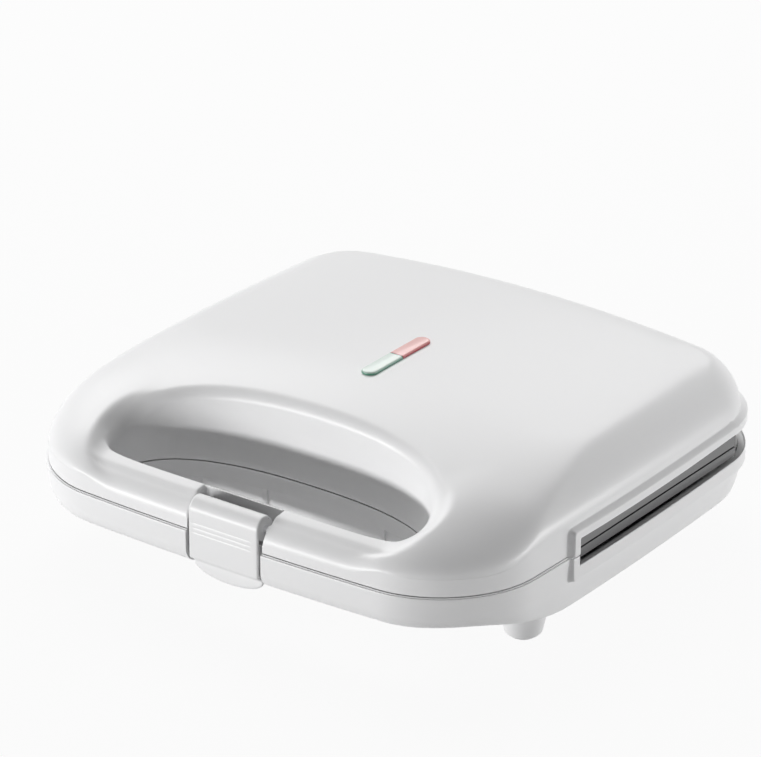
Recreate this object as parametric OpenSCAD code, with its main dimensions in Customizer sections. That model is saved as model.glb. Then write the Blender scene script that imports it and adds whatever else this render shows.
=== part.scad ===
// Two-slice sandwich toaster with a hinged lid and a clip latch.
// Frame: origin under the middle of the body on the table, handle towards -Y, +X right, +Z up.

/* [Body] */
// Width of the base at the seam
body_w = 230; // [220:1:242]
// Depth of the base at the seam
body_d = 222; // [216:1:232]
// Height of the seam above the table
seam_z = 38; // [36:0.5:42]
// How far the front edge bows forward in its middle
front_bow = 4.4; // [0:0.2:6]
// How far the rear edge bows backward in its middle
rear_bow = 2.5; // [0:0.2:4]
// How far each side bows outward in its middle
side_bow = 3.4; // [0:0.2:5]
// Plan radius of the front corners
front_corner_r = 46; // [40:1:50]
// Plan radius of the rear corners
rear_corner_r = 31; // [26:1:36]
// Wall thickness of the two mouldings
wall = 2.4; // [2:0.1:2.8]
// Open line between lid and base
seam_gap = 0.7; // [0.5:0.1:1]
// How far the lid's wall stands inside the base's wall
lid_inset = 1.2; // [0.8:0.1:1.6]

/* [Lid crown] */
// Height of the lid's upright wall above the seam
lid_wall_h = 12; // [11.6:0.1:13]
// Height of the lid's shoulder above the upright wall
shoulder_h = 13.2; // [12:0.1:15]
// Width of the shoulder at the sides
side_shoulder = 17.3; // [15:0.1:20]
// Width of the shoulder at the rear
rear_shoulder = 16.5; // [14:0.1:20]
// Length of the long slope at the front
front_slope = 94; // [88:1:100]
// Roundness of the shoulder, 2 is a quarter circle
shoulder_power = 1.6; // [1.5:0.05:2]
// Rise of the lid from its sides to the centreline
crown_x = 8.1; // [6:0.1:10]
// Rise of the lid from front and rear to the middle
crown_y = 3.3; // [2:0.1:5]

/* [Handle] */
// Depth of the handle bar, front to back
bar_d = 16; // [15:0.5:18]
// Height of the bar's inner edge above the seam
bar_h = 14; // [13:0.2:15]
// Half length of the finger opening
grip_a = 71; // [66:0.5:73]
// Depth of the finger opening behind the bar
grip_d = 43.6; // [40:0.2:45]
// Height of the base bar
base_bar_h = 15; // [14:0.5:17]
// Radius of the scoop's rim at the rear
rim_r = 5; // [3:0.2:6]
// Width of the notch for the latch
notch_w = 36.8; // [35:0.2:39]

/* [Side vents] */
// Height of the upper vent lip's edge above the seam
vent_up = 6.8; // [6:0.1:8]
// Depth of the lower vent lip's edge below the seam
vent_down = 4.5; // [4:0.1:5.5]
// Height of each raised lip
lip_h = 4.6; // [4:0.1:5]
// How far the lips stand proud
lip_out = 2.3; // [1.5:0.1:2.6]
// Front end of the vents, measured back from the front
vent_front = 72; // [68:1:76]

/* [Base] */
// Ground clearance of the belly
belly_z = 12; // [10:0.5:13]
// Radius under the sides of the base
belly_r = 11; // [8:0.5:13]
// Radius of a foot at its top
foot_r = 9; // [8:0.2:10]
// Radius of a foot at its bottom
foot_tip_r = 7; // [6.5:0.1:7.5]
// How far the front feet stand behind the front edge
foot_front_in = 66; // [60:1:72]
// How far the rear feet stand in front of the rear edge
foot_rear_in = 33; // [30:1:42]
// Radius of a rubber pad
pad_r = 5; // [4:0.2:5.6]
// How far a pad stands below its foot
pad_proud = 0.5; // [0.3:0.1:1]

/* [Plates] */
// How far a plate's side edges stand inside the body's sides
plate_in = 2.5; // [2:0.1:7]
// Depth of a cooking plate
plate_d = 116; // [110:1:118]
// Depth of a bread pocket
pocket_d = 11; // [8:0.5:12]
// Thickness of a plate
plate_t = 2.2; // [1.8:0.1:2.6]
// Width of the sealing rim between the pockets
rim_w = 6; // [5:0.5:8]

/* [Latch] */
// Width of the latch
latch_w = 31.2; // [29:0.2:33]
// Thickness of the latch's plate
latch_t = 2.6; // [2.2:0.1:3]
// Height of the latch pin above the seam
latch_pin_z = 8.4; // [8:0.2:9]
// Distance of the latch pin behind the front edge
latch_pin_in = 5.6; // [5:0.2:6.2]
// Radius of the latch pin
latch_pin_r = 1.5; // [1.2:0.1:1.7]
// How far the thumb tab reaches below the seam
tab_drop = 18.5; // [17:0.5:20]
// How deep the hook reaches behind the latch's plate
hook_d = 2.4; // [1.5:0.1:3]

/* [Hinges] */
// Distance of each hinge from the centreline
hinge_x = 62; // [55:1:68]
// Height of the hinge axis above the seam
hinge_z = 1.2; // [0.6:0.1:1.6]
// Distance of the hinge axis in front of the rear edge
hinge_in = 1; // [0.5:0.1:2]
// Radius of a hinge pin
hinge_pin_r = 2; // [1.6:0.1:2.2]
// Wall of a hinge knuckle
knuckle_t = 1.8; // [1.5:0.1:2]
// Length of the lid's knuckle
knuckle_l = 11; // [9:0.5:13]
// Radial clearance of a running pin
pin_clear = 0.05; // [0.02:0.01:0.1]

/* [Pilot window] */
// Length of the two-colour window
lamp_l = 44; // [40:0.5:48]
// Width of the window
lamp_w = 7; // [6:0.2:8]
// How far the window stands above the lid
lamp_proud = 1.2; // [0.6:0.1:1.6]
// Distance of the window's middle behind the origin
lamp_y = 1.5; // [-4:0.5:6]

/* [Hidden] */

half_w = body_w / 2;
half_d = body_d / 2;
lid_z = seam_z + seam_gap / 2;
base_z = seam_z - seam_gap / 2;
fit = 0.3;              // clearance between neighbours that don't touch
eps = 0.05;             // overlap that joins two shapes of one piece

// Rings round the body, the same number of points at every level.
front_n = 5;
arc_n = 9;
side_n = 8;
rear_n = 6;

function half_ring(w, f, r, cf, cr) = [
    for (i = [0:front_n - 1]) [(w - cf) * i / front_n, f],
    for (i = [0:arc_n - 1]) let (a = 90 * i / arc_n) [w - cf + cf * sin(a), f + cf - cf * cos(a)],
    for (i = [0:side_n - 1]) [w, f + cf + (r - cr - f - cf) * i / side_n],
    for (i = [0:arc_n - 1]) let (a = 90 * i / arc_n) [w - cr + cr * cos(a), r - cr + cr * sin(a)],
    for (i = [0:rear_n]) [(w - cr) * (1 - i / rear_n), r]
];
function bowed(p) = let (v = p[1] / half_d)
    [p[0] * (1 - side_bow * v * v / half_w),
     p[1] + (v < 0 ? front_bow : -rear_bow) * pow(p[0] / half_w, 2) * abs(v)];
function mirrored(h) = concat(h, [for (i = [len(h) - 2:-1:1]) [-h[i][0], h[i][1]]]);
// The body's outline, drawn in by e on all sides.
function outline(e) = [for (p = mirrored(half_ring(half_w - e, -half_d + e, half_d - e,
    front_corner_r - e, rear_corner_r - e))) bowed(p)];

// The lid's level curves: 0 at the top of the upright wall, 1 where the shoulder ends.
top_front_r = 19;
top_rear_r = 10;
function unbowed(p) = let (v = p[1] / half_d)
    [p[0] / (1 - side_bow * v * v / half_w),
     p[1] - (v < 0 ? front_bow : -rear_bow) * pow(p[0] / half_w, 2) * abs(v)];
function outside(q, g) =
    let (w = half_w - lid_inset - side_shoulder * g,
         f = -half_d + lid_inset + front_slope * g,
         b = half_d - lid_inset - rear_shoulder * g,
         c = (f + b) / 2,
         r = q[1] < c ? front_corner_r + (top_front_r - front_corner_r) * g
                      : rear_corner_r + (top_rear_r - rear_corner_r) * g,
         dx = abs(q[0]) - w + r,
         dy = abs(q[1] - c) - (b - f) / 2 + r)
    norm([max(dx, 0), max(dy, 0)]) - r + min(max(dx, dy), 0);
function level(q, lo = 0, hi = 1, n = 12) =
    n == 0 ? (lo + hi) / 2 :
    let (m = (lo + hi) / 2) outside(q, m) < 0 ? level(q, m, hi, n - 1) : level(q, lo, m, n - 1);
function shoulder(g) = pow(max(0, 1 - pow(1 - g, shoulder_power)), 1 / shoulder_power);
function plain_lid(p) =
    let (q = unbowed(p), g = outside(q, 1) < 0 ? 1 : outside(q, 0) > 0 ? 0 : level(q),
         crown = crown_x * (1 - pow(p[0] / half_w, 2)) + crown_y * (1 - pow(p[1] / half_d, 2)))
    seam_z + lid_wall_h + shoulder(g) * (shoulder_h + crown);

// The bar is lower than the lid round it: a rounded front face, a soft crease and a raised strip.
bar_face_h = 5;         // height of the bar's upright front face above the seam
bar_round_h = 6.6;      // rise of its rounded part
bar_round_d = 9;        // depth of its rounded part
strip_h = 2.2;          // rise of the strip above the crease
strip_from = 7;
strip_to = 11.5;
bar_blend = 5;
function smooth(t) = let (u = min(1, max(0, t))) u * u * (3 - 2 * u);
function soft_min(a, b, k) = let (h = min(1, max(0, 0.5 + 0.5 * (b - a) / k)))
    b + (a - b) * h - k * h * (1 - h);
function bar_top(p) =
    let (d = max(0, p[1] + half_d - lid_inset - front_bow * pow(p[0] / half_w, 2)),
         side = max(0, abs(p[0]) - grip_a + 4),
         back = max(0, p[1] + half_d - bar_d - 7))
    seam_z + bar_face_h + bar_round_h * sqrt(1 - pow(1 - min(1, d / bar_round_d), 2))
    + strip_h * smooth((d - strip_from) / (strip_to - strip_from))
    + (bar_h - bar_face_h - bar_round_h - strip_h) * smooth(d / bar_d)
    + 0.05 * side * side + 0.03 * back * back;
function lid_top(p) = soft_min(plain_lid(p), bar_top(p), bar_blend);

// The finger opening: a straight front edge with round ends and a bowed rear edge.
grip_front = -half_d + bar_d;
grip_turn = 10;         // how far behind the bar the opening is widest
grip_y = grip_front + grip_turn;
rear_power = 2.45;
front_power = 5;
function signed_pow(v, e) = sign(v) * pow(abs(v), e);
function grip_point(a, s) =
    let (e = sin(a) < 0 ? 2 / front_power : 2 / rear_power)
    [(grip_a + s) * signed_pow(cos(a), e),
     grip_y + (sin(a) < 0 ? grip_turn + s : grip_d - grip_turn + s) * signed_pow(sin(a), e)];
function grip_ring(s, n = 72) = [for (i = [0:n - 1]) grip_point(360 * i / n, s)];

// Spokes from the finger opening to the outline, one for each outline point.
rim0 = outline(0);
spoke = [for (p = rim0) atan2((p[1] - grip_y) * grip_a / (grip_d + 14), p[0])];
// The rim is tight over the bar and wide at the scoop's rear.
function rim_at(i) = let (t = smooth(0.5 + sin(spoke[i]) * 1.2)) 1.2 + (rim_r - 1.2) * t;
draft = 1.2;
function mix2(a, b, t) = [a[0] + (b[0] - a[0]) * t, a[1] + (b[1] - a[1]) * t];
function raised(ring, z) = [for (p = ring) [p[0], p[1], z]];

edge_steps = [0.02, 0.08, 0.18, 0.36, 0.62, 1];     // rows that follow the shoulder
top_steps = [0.2, 0.42, 0.64, 0.85];                // rows across the top
shoulder_zone = 16;
rim_turns = [90, 65, 40, 15];

// One row of the lid's skin, t of the way from the shoulder zone's start, drawn in by e.
function spoke_row(e, near, far) = let (o = outline(lid_inset + e)) [
    for (i = [0:len(o) - 1])
        let (g = grip_point(spoke[i], draft + rim_at(i) + e),
             l = norm(o[i] - g),
             zone = min(shoulder_zone, 0.85 * l),
             t = (near * zone + far * (l - zone)) / l)
        mix2(o[i], g, t)];
function on_lid(row, drop) = [for (p = row) [p[0], p[1], lid_top(p) - drop]];
function rim_row(e, turn) = [for (i = [0:len(spoke) - 1])
    let (r = rim_at(i),
         p = grip_point(spoke[i], draft + r * (1 - cos(turn)) + e))
    [p[0], p[1], lid_top(p) - r * (1 - sin(turn)) - e]];
function lid_skin(e) = concat(
    [raised(outline(lid_inset + e), lid_z)],
    [on_lid(outline(lid_inset + e), e)],
    [for (s = edge_steps) on_lid(spoke_row(e, s, 0), e * 1.15)],
    [for (s = top_steps) on_lid(spoke_row(e, 1, s), e)],
    [for (a = rim_turns) rim_row(e, a)],
    [[for (i = [0:len(spoke) - 1])
        let (p = grip_point(spoke[i], draft + e)) [p[0], p[1], lid_top(p) - rim_at(i) - e]]],
    [raised([for (a = spoke) grip_point(a, e)], lid_z)]);

// The base's skin, from the seam down, under and up the finger opening.
bar_bottom = seam_z - base_bar_h;
bar_under_r = 8;
slope_back = 50;        // the belly is reached this far behind the bar
function floor_at(p) = let (t = smooth((p[1] - grip_front + bar_d / 2) / slope_back))
    bar_bottom + (belly_z - bar_bottom) * t;
function under_r(p) = let (t = smooth((p[1] - grip_front + bar_d / 2) / slope_back))
    bar_under_r + (belly_r - bar_under_r) * t;
function base_row(e, turn) = let (o = outline(e)) [for (i = [0:len(o) - 1])
    let (g = grip_point(spoke[i], e),
         r = under_r(o[i]),
         d = (r - e) * (1 - cos(turn)),
         p = mix2(o[i], g, d / norm(o[i] - g)))
    [p[0], p[1], floor_at(o[i]) + r - (r - e) * sin(turn)]];
function base_skin(e) = concat(
    [raised(outline(e), base_z)],
    [for (a = [0, 20, 40, 60, 90]) base_row(e, a)],
    [for (s = [0.25, 0.5, 0.75]) let (o = outline(e)) [for (i = [0:len(o) - 1])
        let (g = grip_point(spoke[i], e),
             l = norm(o[i] - g),
             d = under_r(o[i]),
             p = mix2(o[i], g, (d + s * (l - d)) / l))
        [p[0], p[1], floor_at(p) + e]]],
    [[for (a = spoke) let (p = grip_point(a, e)) [p[0], p[1], floor_at(p) + e]]],
    [raised([for (a = spoke) grip_point(a, e)], base_z)]);

// A closed skin through rows of points, the last row joined to the first.
module loop_skin(rows, flip = false) {
    n = len(rows[0]);
    m = len(rows);
    points = [for (r = rows) each r];
    faces = [for (j = [0:m - 1]) for (i = [0:n - 1])
        let (k = (i + 1) % n, l = (j + 1) % m, a = j * n + i, b = j * n + k, c = l * n + i, d = l * n + k)
        each i < n / 2 ? [[a, c, b], [b, c, d]] : [[a, c, d], [a, d, b]]];
    polyhedron(points, flip ? [for (f = faces) [f[0], f[2], f[1]]] : faces, convexity = 8);
}
function reversed(a) = [for (i = [len(a) - 1:-1:0]) a[i]];

// Side vents: the walls stop at the lips, from vent_y to round the rear.
vent_y = -half_d + vent_front;
vent_top = seam_z + vent_up;
vent_bottom = seam_z - vent_down;
lip_leg = 4.5;          // width of the upright end of a lip
lower_lip_h = lip_h + 2.2;
far = 2 * body_w;       // longer than the body, for cuts that pass through it
module outline_prism(e, z0, z1) {
    translate([0, 0, z0]) linear_extrude(z1 - z0) polygon(outline(e));
}
// All that lies between two depths.
module slice(y0, y1, z0, z1) {
    translate([-far / 2, y0, z0]) cube([far, y1 - y0, z1 - z0]);
}
// A raised lip round the wall, with its upright leg in front. edge is its height at the vent, back its other
// side and foot where the leg meets the seam.
lip_root = lid_inset + wall / 3;
root_step = 0.3;        // the wall stops this much short of the lip's edge
module lip(edge, back, foot) {
    intersection() {
        difference() {
            outline_prism(-lip_out, min(back, foot) - 1, max(back, foot) + 1);
            outline_prism(lip_root, min(back, foot) - 2, max(back, foot) + 2);
        }
        in_x(-far / 2, far) polygon([[vent_y - lip_leg, foot], [vent_y, foot], [vent_y, edge], [far, edge],
            [far, back], [vent_y - lip_leg, back]]);
    }
}
module in_x(x0, w) {
    translate([x0, 0, 0]) rotate([90, 0, 90]) linear_extrude(w) children();
}

// Places shared by the plates and what holds them.
plate_w = body_w - 2 * plate_in;
plate_clear = 0.9;      // behind the vent's front end
plate_front = vent_y + plate_clear;
plate_mid = plate_front + plate_d / 2;
plate_back = plate_front + plate_d;
plate_gap = 0.4;        // half the gap between the two cooking faces
vent_gap = 0.4;         // between a plate's edge and the wall over or under it
screw_r = 1.5;
screw_l = 9;
head_r = 2.8;
head_h = 1.4;
boss_r = 3.4;
screw_clear = 0.1;      // round a shank
head_clear = 0.15;      // round a sunk head
sunk_by = 0.1;          // how far a head lies below the cooking face
screw_in = 6.5;         // plate screws, in from the plate's edges
plate_screw_at = [[-plate_w / 2 + screw_in, plate_front + screw_in],
    [plate_w / 2 - screw_in, plate_front + screw_in], [0, plate_back - screw_in]];
post_r = 2.5;           // posts that the reflectors are fixed to
post_side_in = 24.5;    // the posts' places, in from the plate's edges
post_end_in = 14;
post_at = [for (sx = [-1, 1], sy = [-1, 1])
    [sx * (plate_w / 2 - post_side_in), plate_mid + sy * (plate_d / 2 - post_end_in)]];
reflector_t = 0.8;
tube_r = 3;
heater_gap = 0.1;
pocket_back = plate_gap + pocket_d + plate_t;          // from the seam to the back of the bread pockets
heater_in = pocket_back + heater_gap + tube_r;         // from the seam to the element's middle
reflector_gap = 1;
reflector_in = heater_in + tube_r + reflector_gap;     // from the seam to the reflector
cover_t = 1.8;
cover_side_in = 27;     // the cover's edges, in from the body's sides
cover_end_in = 2;       // and from the plate's ends
cover_w = body_w - 2 * cover_side_in;
cover_d = plate_d - 2 * cover_end_in;
cover_lap = 10;         // the cover's seat round the hole that it closes
cover_r = 10;
cover_screw_in = 6;
cover_y = plate_mid;
cover_screw_at = [for (sx = [-1, 1], sy = [-1, 1])
    [sx * (cover_w / 2 - cover_screw_in), cover_y + sy * (cover_d / 2 - cover_screw_in)]];
foot_x = half_w - foot_r - belly_r;
foot_at = [for (sx = [-1, 1], y = [-half_d + foot_front_in, half_d - foot_rear_in]) [sx * foot_x, y]];

module round_rect(w, d, r) {
    offset(r = r) square([w - 2 * r, d - 2 * r], center = true);
}
module stadium(l, w) {
    for (s = [-1, 1]) translate([0, s * (l - w) / 2]) circle(w / 2, $fn = 48);
    square([w, l - w], center = true);
}
module at_each(places) {
    for (p = places) translate([p[0], p[1], 0]) children();
}
// A screw: its shank goes up from z = 0 and its head lies below.
module screw(l) {
    translate([0, 0, -eps]) cylinder(r = screw_r, h = l + eps, $fn = 24);
    translate([0, 0, -head_h]) cylinder(r = head_r, h = head_h, $fn = 32);
}

// ---- cooking plates -------------------------------------------------------------------------
slice_w = (plate_w - 3 * rim_w) / 2;
slice_d = plate_d - 2 * rim_w;
pocket_draft = 6;
thin = 0.01;
corner_round = 4;
// Half a slice, cut corner to corner, drawn in by e.
module pocket_triangle(e) {
    w = slice_w / 2;
    d = slice_d / 2;
    offset(r = corner_round, $fn = 20) offset(delta = -corner_round - e)
        polygon([[-w, -d], [w - 1.4 * rim_w, -d], [-w, d - 1.4 * rim_w]]);
}
module slice_pocket(side, half, grow, depth) {
    translate([side * (slice_w + rim_w) / 2, plate_mid, 0]) mirror([side < 0 ? 1 : 0, 0, 0])
        rotate(180 * half) hull() {
            linear_extrude(thin) offset(r = grow, $fn = 20) pocket_triangle(0);
            translate([0, 0, depth - thin]) linear_extrude(thin) offset(r = grow, $fn = 20)
                pocket_triangle(pocket_draft);
        }
}
module four_pockets(grow, depth) {
    for (side = [-1, 1], half = [0, 1]) slice_pocket(side, half, grow, depth);
}
// A plate with its cooking face at z = 0 and its back upwards.
module plate_body(rim_h) {
    difference() {
        union() {
            difference() {
                translate([-plate_w / 2, plate_front, 0]) cube([plate_w, plate_d, rim_h]);
                translate([-plate_w / 2 + plate_t, plate_front + plate_t, plate_t])
                    cube([plate_w - 2 * plate_t, plate_d - 2 * plate_t, rim_h]);
            }
            four_pockets(plate_t, pocket_d + plate_t);
        }
        translate([0, 0, -eps]) four_pockets(0, pocket_d + eps);
        at_each(plate_screw_at) translate([0, 0, -1]) cylinder(r = screw_r + screw_clear, h = far, $fn = 24);
        at_each(plate_screw_at) translate([0, 0, -1])
            cylinder(r = head_r + head_clear, h = head_h + 1 + sunk_by, $fn = 32);
    }
}
module lower_plate() {
    color([0.13, 0.13, 0.14]) translate([0, 0, seam_z - plate_gap]) mirror([0, 0, 1])
        plate_body(vent_down - plate_gap - vent_gap);
}
module upper_plate() {
    color([0.13, 0.13, 0.14]) translate([0, 0, seam_z + plate_gap])
        plate_body(vent_up - plate_gap - vent_gap);
}
module upper_plate_screws() {
    color("silver") translate([0, 0, seam_z + plate_gap + head_h + sunk_by]) at_each(plate_screw_at)
        screw(screw_l);
}
module lower_plate_screws() {
    color("silver") translate([0, 0, seam_z - plate_gap - head_h - sunk_by]) mirror([0, 0, 1])
        at_each(plate_screw_at) screw(screw_l);
}

// ---- heating --------------------------------------------------------------------------------
heater_x = 52;
heater_front = plate_front + 24;
heater_end = plate_back - 6;
cold_pin_l = 8;
heater_bend = 14;
// A tubular element bent to a U, open at the rear, with its cold pins.
module heater_u() {
    for (s = [-1, 1]) translate([s * heater_x, heater_front + heater_bend, 0]) rotate([-90, 0, 0]) {
        cylinder(r = tube_r, h = heater_end - heater_front - heater_bend, $fn = 32);
        cylinder(r = tube_r / 2, h = heater_end - heater_front - heater_bend + cold_pin_l, $fn = 24);
    }
    for (s = [-1, 1]) translate([s * (heater_x - heater_bend), heater_front + heater_bend, 0])
        rotate(s > 0 ? -90 : 180) rotate_extrude(angle = 90, $fn = 64) translate([heater_bend, 0])
            circle(tube_r, $fn = 32);
    translate([-heater_x + heater_bend, heater_front, 0]) rotate([0, 90, 0])
        cylinder(r = tube_r, h = 2 * (heater_x - heater_bend), $fn = 32);
}
module upper_heater() {
    color([0.45, 0.45, 0.44]) translate([0, 0, seam_z + heater_in]) heater_u();
}
module lower_heater() {
    color([0.45, 0.45, 0.44]) translate([0, 0, seam_z - heater_in]) heater_u();
}
reflector_side_in = 17.5;
reflector_end_in = 6;
reflector_w = plate_w - 2 * reflector_side_in;
reflector_d = plate_d - 2 * reflector_end_in;
reflector_slot = [30, 24];      // for the wires, in the middle of the rear edge
module reflector() {
    translate([0, plate_mid, 0]) linear_extrude(reflector_t) difference() {
        round_rect(reflector_w, reflector_d, 8);
        translate([0, reflector_d / 2]) square(reflector_slot, center = true);
    }
}
module upper_reflector() {
    color([0.75, 0.76, 0.77]) translate([0, 0, seam_z + reflector_in]) reflector();
}
module lower_reflector() {
    color([0.75, 0.76, 0.77]) translate([0, 0, seam_z - reflector_in - reflector_t]) reflector();
}
sensor_x = 30;
sensor_y = plate_mid - 20;
module thermostat() {
    color([0.85, 0.83, 0.76]) translate([sensor_x, sensor_y, seam_z + pocket_back + heater_gap]) {
        cylinder(r = 6.5, h = 4.6, $fn = 48);
        translate([0, 0, 2.3]) cube([19, 3, 1], center = true);
    }
}
fuse_r = 2.2;
module thermal_fuse() {
    color([0.8, 0.72, 0.5]) translate([sensor_x - 9, sensor_y, seam_z - pocket_back - heater_gap - fuse_r])
        rotate([0, 90, 0]) {
            cylinder(r = fuse_r, h = 12, $fn = 32);
            translate([0, 0, -5]) cylinder(r = 0.6, h = 22, $fn = 16);
        }
}

// ---- hinges ---------------------------------------------------------------------------------
axis_y = half_d - hinge_in;
axis_z = seam_z + hinge_z;
knuckle_r = hinge_pin_r + knuckle_t;
end_knuckle_l = 6;
knuckle_gap = 0.4;
leaf_t = 1.6;
leaf_y = axis_y - 12;
leaf_drop = 14;
post_d = 4;
hinge_reach = knuckle_l / 2 + knuckle_gap + end_knuckle_l;
module along_x(x0) {
    translate([x0, axis_y, axis_z]) rotate([0, 90, 0]) children();
}
// Leaf of a hinge: flat under or over the knuckles, then turned into the body. dir is 1 for the lid.
module leaf(w, dir, tab) {
    z = axis_z + dir * (knuckle_r - leaf_t / 2);
    front = knuckle_r + knuckle_gap;
    translate([-w / 2, leaf_y, z - leaf_t / 2]) cube([w, axis_y - front - leaf_y, leaf_t]);
    for (t = tab) translate([t[0], axis_y - front - eps, z - leaf_t / 2]) cube([t[1], front + eps, leaf_t]);
    translate([-w / 2, leaf_y, dir > 0 ? z - leaf_t / 2 : z + leaf_t / 2 - leaf_drop])
        cube([w, leaf_t, leaf_drop]);
}
leaf_screw_in = 5;      // up from the leaf's turned edge
screw_z = leaf_drop - leaf_screw_in;
module hinge_screw_at(dir) {
    for (s = [-1, 1]) translate([s * hinge_x, leaf_y, axis_z + dir * (knuckle_r - leaf_t + screw_z)])
        rotate([-90, 0, 0]) children();
}
module leaf_hole() {
    translate([0, 0, -1]) cylinder(r = screw_r + screw_clear, h = leaf_t + 2, $fn = 24);
}
module base_hinges() {
    color("silver") for (s = [-1, 1]) translate([s * hinge_x, 0, 0]) difference() {
        union() {
            for (x = [-hinge_reach, hinge_reach - end_knuckle_l])
                along_x(x) cylinder(r = knuckle_r, h = end_knuckle_l, $fn = 48);
            leaf(2 * hinge_reach, -1,
                [[-hinge_reach, end_knuckle_l], [hinge_reach - end_knuckle_l, end_knuckle_l]]);
        }
        along_x(-far / 2) cylinder(r = hinge_pin_r, h = far, $fn = 48);
        translate([-s * hinge_x, 0, 0]) hinge_screw_at(-1) leaf_hole();
    }
}
module lid_hinges() {
    color("silver") for (s = [-1, 1]) translate([s * hinge_x, 0, 0]) difference() {
        union() {
            along_x(-knuckle_l / 2) cylinder(r = knuckle_r, h = knuckle_l, $fn = 48);
            leaf(knuckle_l, 1, [[-knuckle_l / 2, knuckle_l]]);
        }
        along_x(-far / 2) cylinder(r = hinge_pin_r + pin_clear, h = far, $fn = 48);
        translate([-s * hinge_x, 0, 0]) hinge_screw_at(1) leaf_hole();
    }
}
module hinge_pins() {
    color("lightgrey") for (s = [-1, 1]) translate([s * hinge_x, 0, 0]) along_x(-hinge_reach)
        cylinder(r = hinge_pin_r, h = 2 * hinge_reach, $fn = 48);
}
hinge_screw_l = leaf_t + post_d - fit;
module base_hinge_screws() {
    color("silver") hinge_screw_at(-1) screw(hinge_screw_l);
}
module lid_hinge_screws() {
    color("silver") hinge_screw_at(1) screw(hinge_screw_l);
}
// Heat-proof sleeves that carry the wires across the hinge line, one turning with the lid.
sleeve_r = 2.6;
sleeve_bend = 5;
sleeve_x = 18;
sleeve_end = 10;
sleeve_straight = 3;
sleeve_y = axis_y - 2 * sleeve_bend - sleeve_straight;
// Along the axis from the middle, forward, then up.
module sleeve() {
    bend = [sleeve_bend, 0];
    translate([knuckle_gap / 2, 0, 0]) rotate([0, 90, 0])
        cylinder(r = sleeve_r, h = sleeve_x - sleeve_bend - knuckle_gap / 2, $fn = 32);
    translate([sleeve_x - sleeve_bend, -sleeve_bend, 0])
        rotate_extrude(angle = 90, $fn = 64) translate(bend) circle(sleeve_r, $fn = 32);
    translate([sleeve_x, -sleeve_bend, 0]) rotate([90, 0, 0])
        cylinder(r = sleeve_r, h = sleeve_straight, $fn = 32);
    translate([sleeve_x, -sleeve_bend - sleeve_straight, sleeve_bend]) rotate([180, 0, 0]) rotate([90, 0, 90])
        rotate_extrude(angle = 90, $fn = 64) translate(bend) circle(sleeve_r, $fn = 32);
    translate([sleeve_x, -2 * sleeve_bend - sleeve_straight, sleeve_bend])
        cylinder(r = sleeve_r, h = sleeve_end, $fn = 32);
}
module lower_wire_sleeve() {
    color([0.85, 0.83, 0.78]) translate([0, axis_y, axis_z]) rotate([0, 180, 0]) sleeve();
}
module upper_wire_sleeve() {
    color([0.85, 0.83, 0.78]) translate([0, axis_y, axis_z]) sleeve();
}

// ---- latch ----------------------------------------------------------------------------------
pin_y = -half_d + latch_pin_in;
pin_z = seam_z + latch_pin_z;
latch_front = -half_d + 0.2;
latch_back = latch_front + latch_t;
latch_r = latch_pin_in - 0.2;           // outer radius of the latch's rounded top
latch_low = seam_z - 10;                // where the thumb tab starts
hub_r = latch_pin_r + 1.9;
rib_t = 2.4;
hook_h = 1.8;
hook_z = seam_z - 9.4;
hook_w = 20;
recess_d = latch_t + hook_d + 0.8;
notch_back = grip_front - 2.2;
tab_up = 0.45 * latch_w;                // middle of the tab's round end, above where it starts
// Section of the latch's plate: upright in front, rounded over the pin.
module latch_section() {
    difference() {
        union() {
            translate([latch_front, latch_low]) square([latch_r, pin_z - latch_low]);
            translate([pin_y, pin_z]) circle(latch_r, $fn = 64);
        }
        translate([latch_back, latch_low - 1]) square([far, pin_z - latch_low + 1]);
        translate([pin_y, pin_z]) circle(latch_r - latch_t, $fn = 64);
        translate([pin_y + 1.2, pin_z - 0.01]) square([far, far]);
    }
}
module latch() {
    color([0.95, 0.95, 0.95]) difference() {
        union() {
            in_x(-latch_w / 2, latch_w) latch_section();
            for (x = [-latch_w / 2, latch_w / 2 - rib_t]) in_x(x, rib_t) {
                translate([pin_y, pin_z]) circle(hub_r, $fn = 48);
                translate([latch_back - eps, pin_z - hub_r]) square([pin_y - latch_back + eps, hub_r * 1.4]);
            }
            translate([-hook_w / 2, latch_back - eps, hook_z]) cube([hook_w, hook_d + eps, hook_h]);
            translate([0, latch_back, latch_low]) rotate([90, 0, 0]) linear_extrude(latch_t) intersection() {
                translate([0, tab_up]) circle(tab_drop + latch_low - seam_z + tab_up, $fn = 96);
                translate([-latch_w / 2, -tab_drop]) square([latch_w, tab_drop + eps]);
            }
        }
        in_x(-far / 2, far) translate([pin_y, pin_z]) circle(latch_pin_r + pin_clear, $fn = 48);
    }
}
module latch_pin() {
    color("silver") in_x(-notch_w / 2 - wall, notch_w + 2 * wall) translate([pin_y, pin_z])
        circle(latch_pin_r, $fn = 48);
}

// ---- pilot window ---------------------------------------------------------------------------
lamp_top = lid_top([0, lamp_y]) + lamp_proud;
lens_flange = 1.2;
lens_under = lid_top([0, lamp_y + lamp_l / 2]) - wall - 0.2;
lens_fit = 0.12;
module lens(front) {
    intersection() {
        translate([0, lamp_y, 0]) union() {
            translate([0, 0, lens_under - 1]) linear_extrude(lamp_top - lens_under + 1)
                stadium(lamp_l - 2 * lens_fit, lamp_w - 2 * lens_fit);
            translate([0, 0, lens_under - 1]) linear_extrude(1)
                stadium(lamp_l + 2 * lens_flange, lamp_w + 2 * lens_flange);
        }
        translate([0, lamp_y + (front ? -lamp_l / 2 - 0.05 : lamp_l / 2 + 0.05), lamp_top])
            cube([far, lamp_l, far], center = true);
    }
}
module lens_green() {
    color([0.62, 0.8, 0.7]) lens(true);
}
module lens_red() {
    color([0.8, 0.3, 0.3]) lens(false);
}
holder_h = 9;
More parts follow.
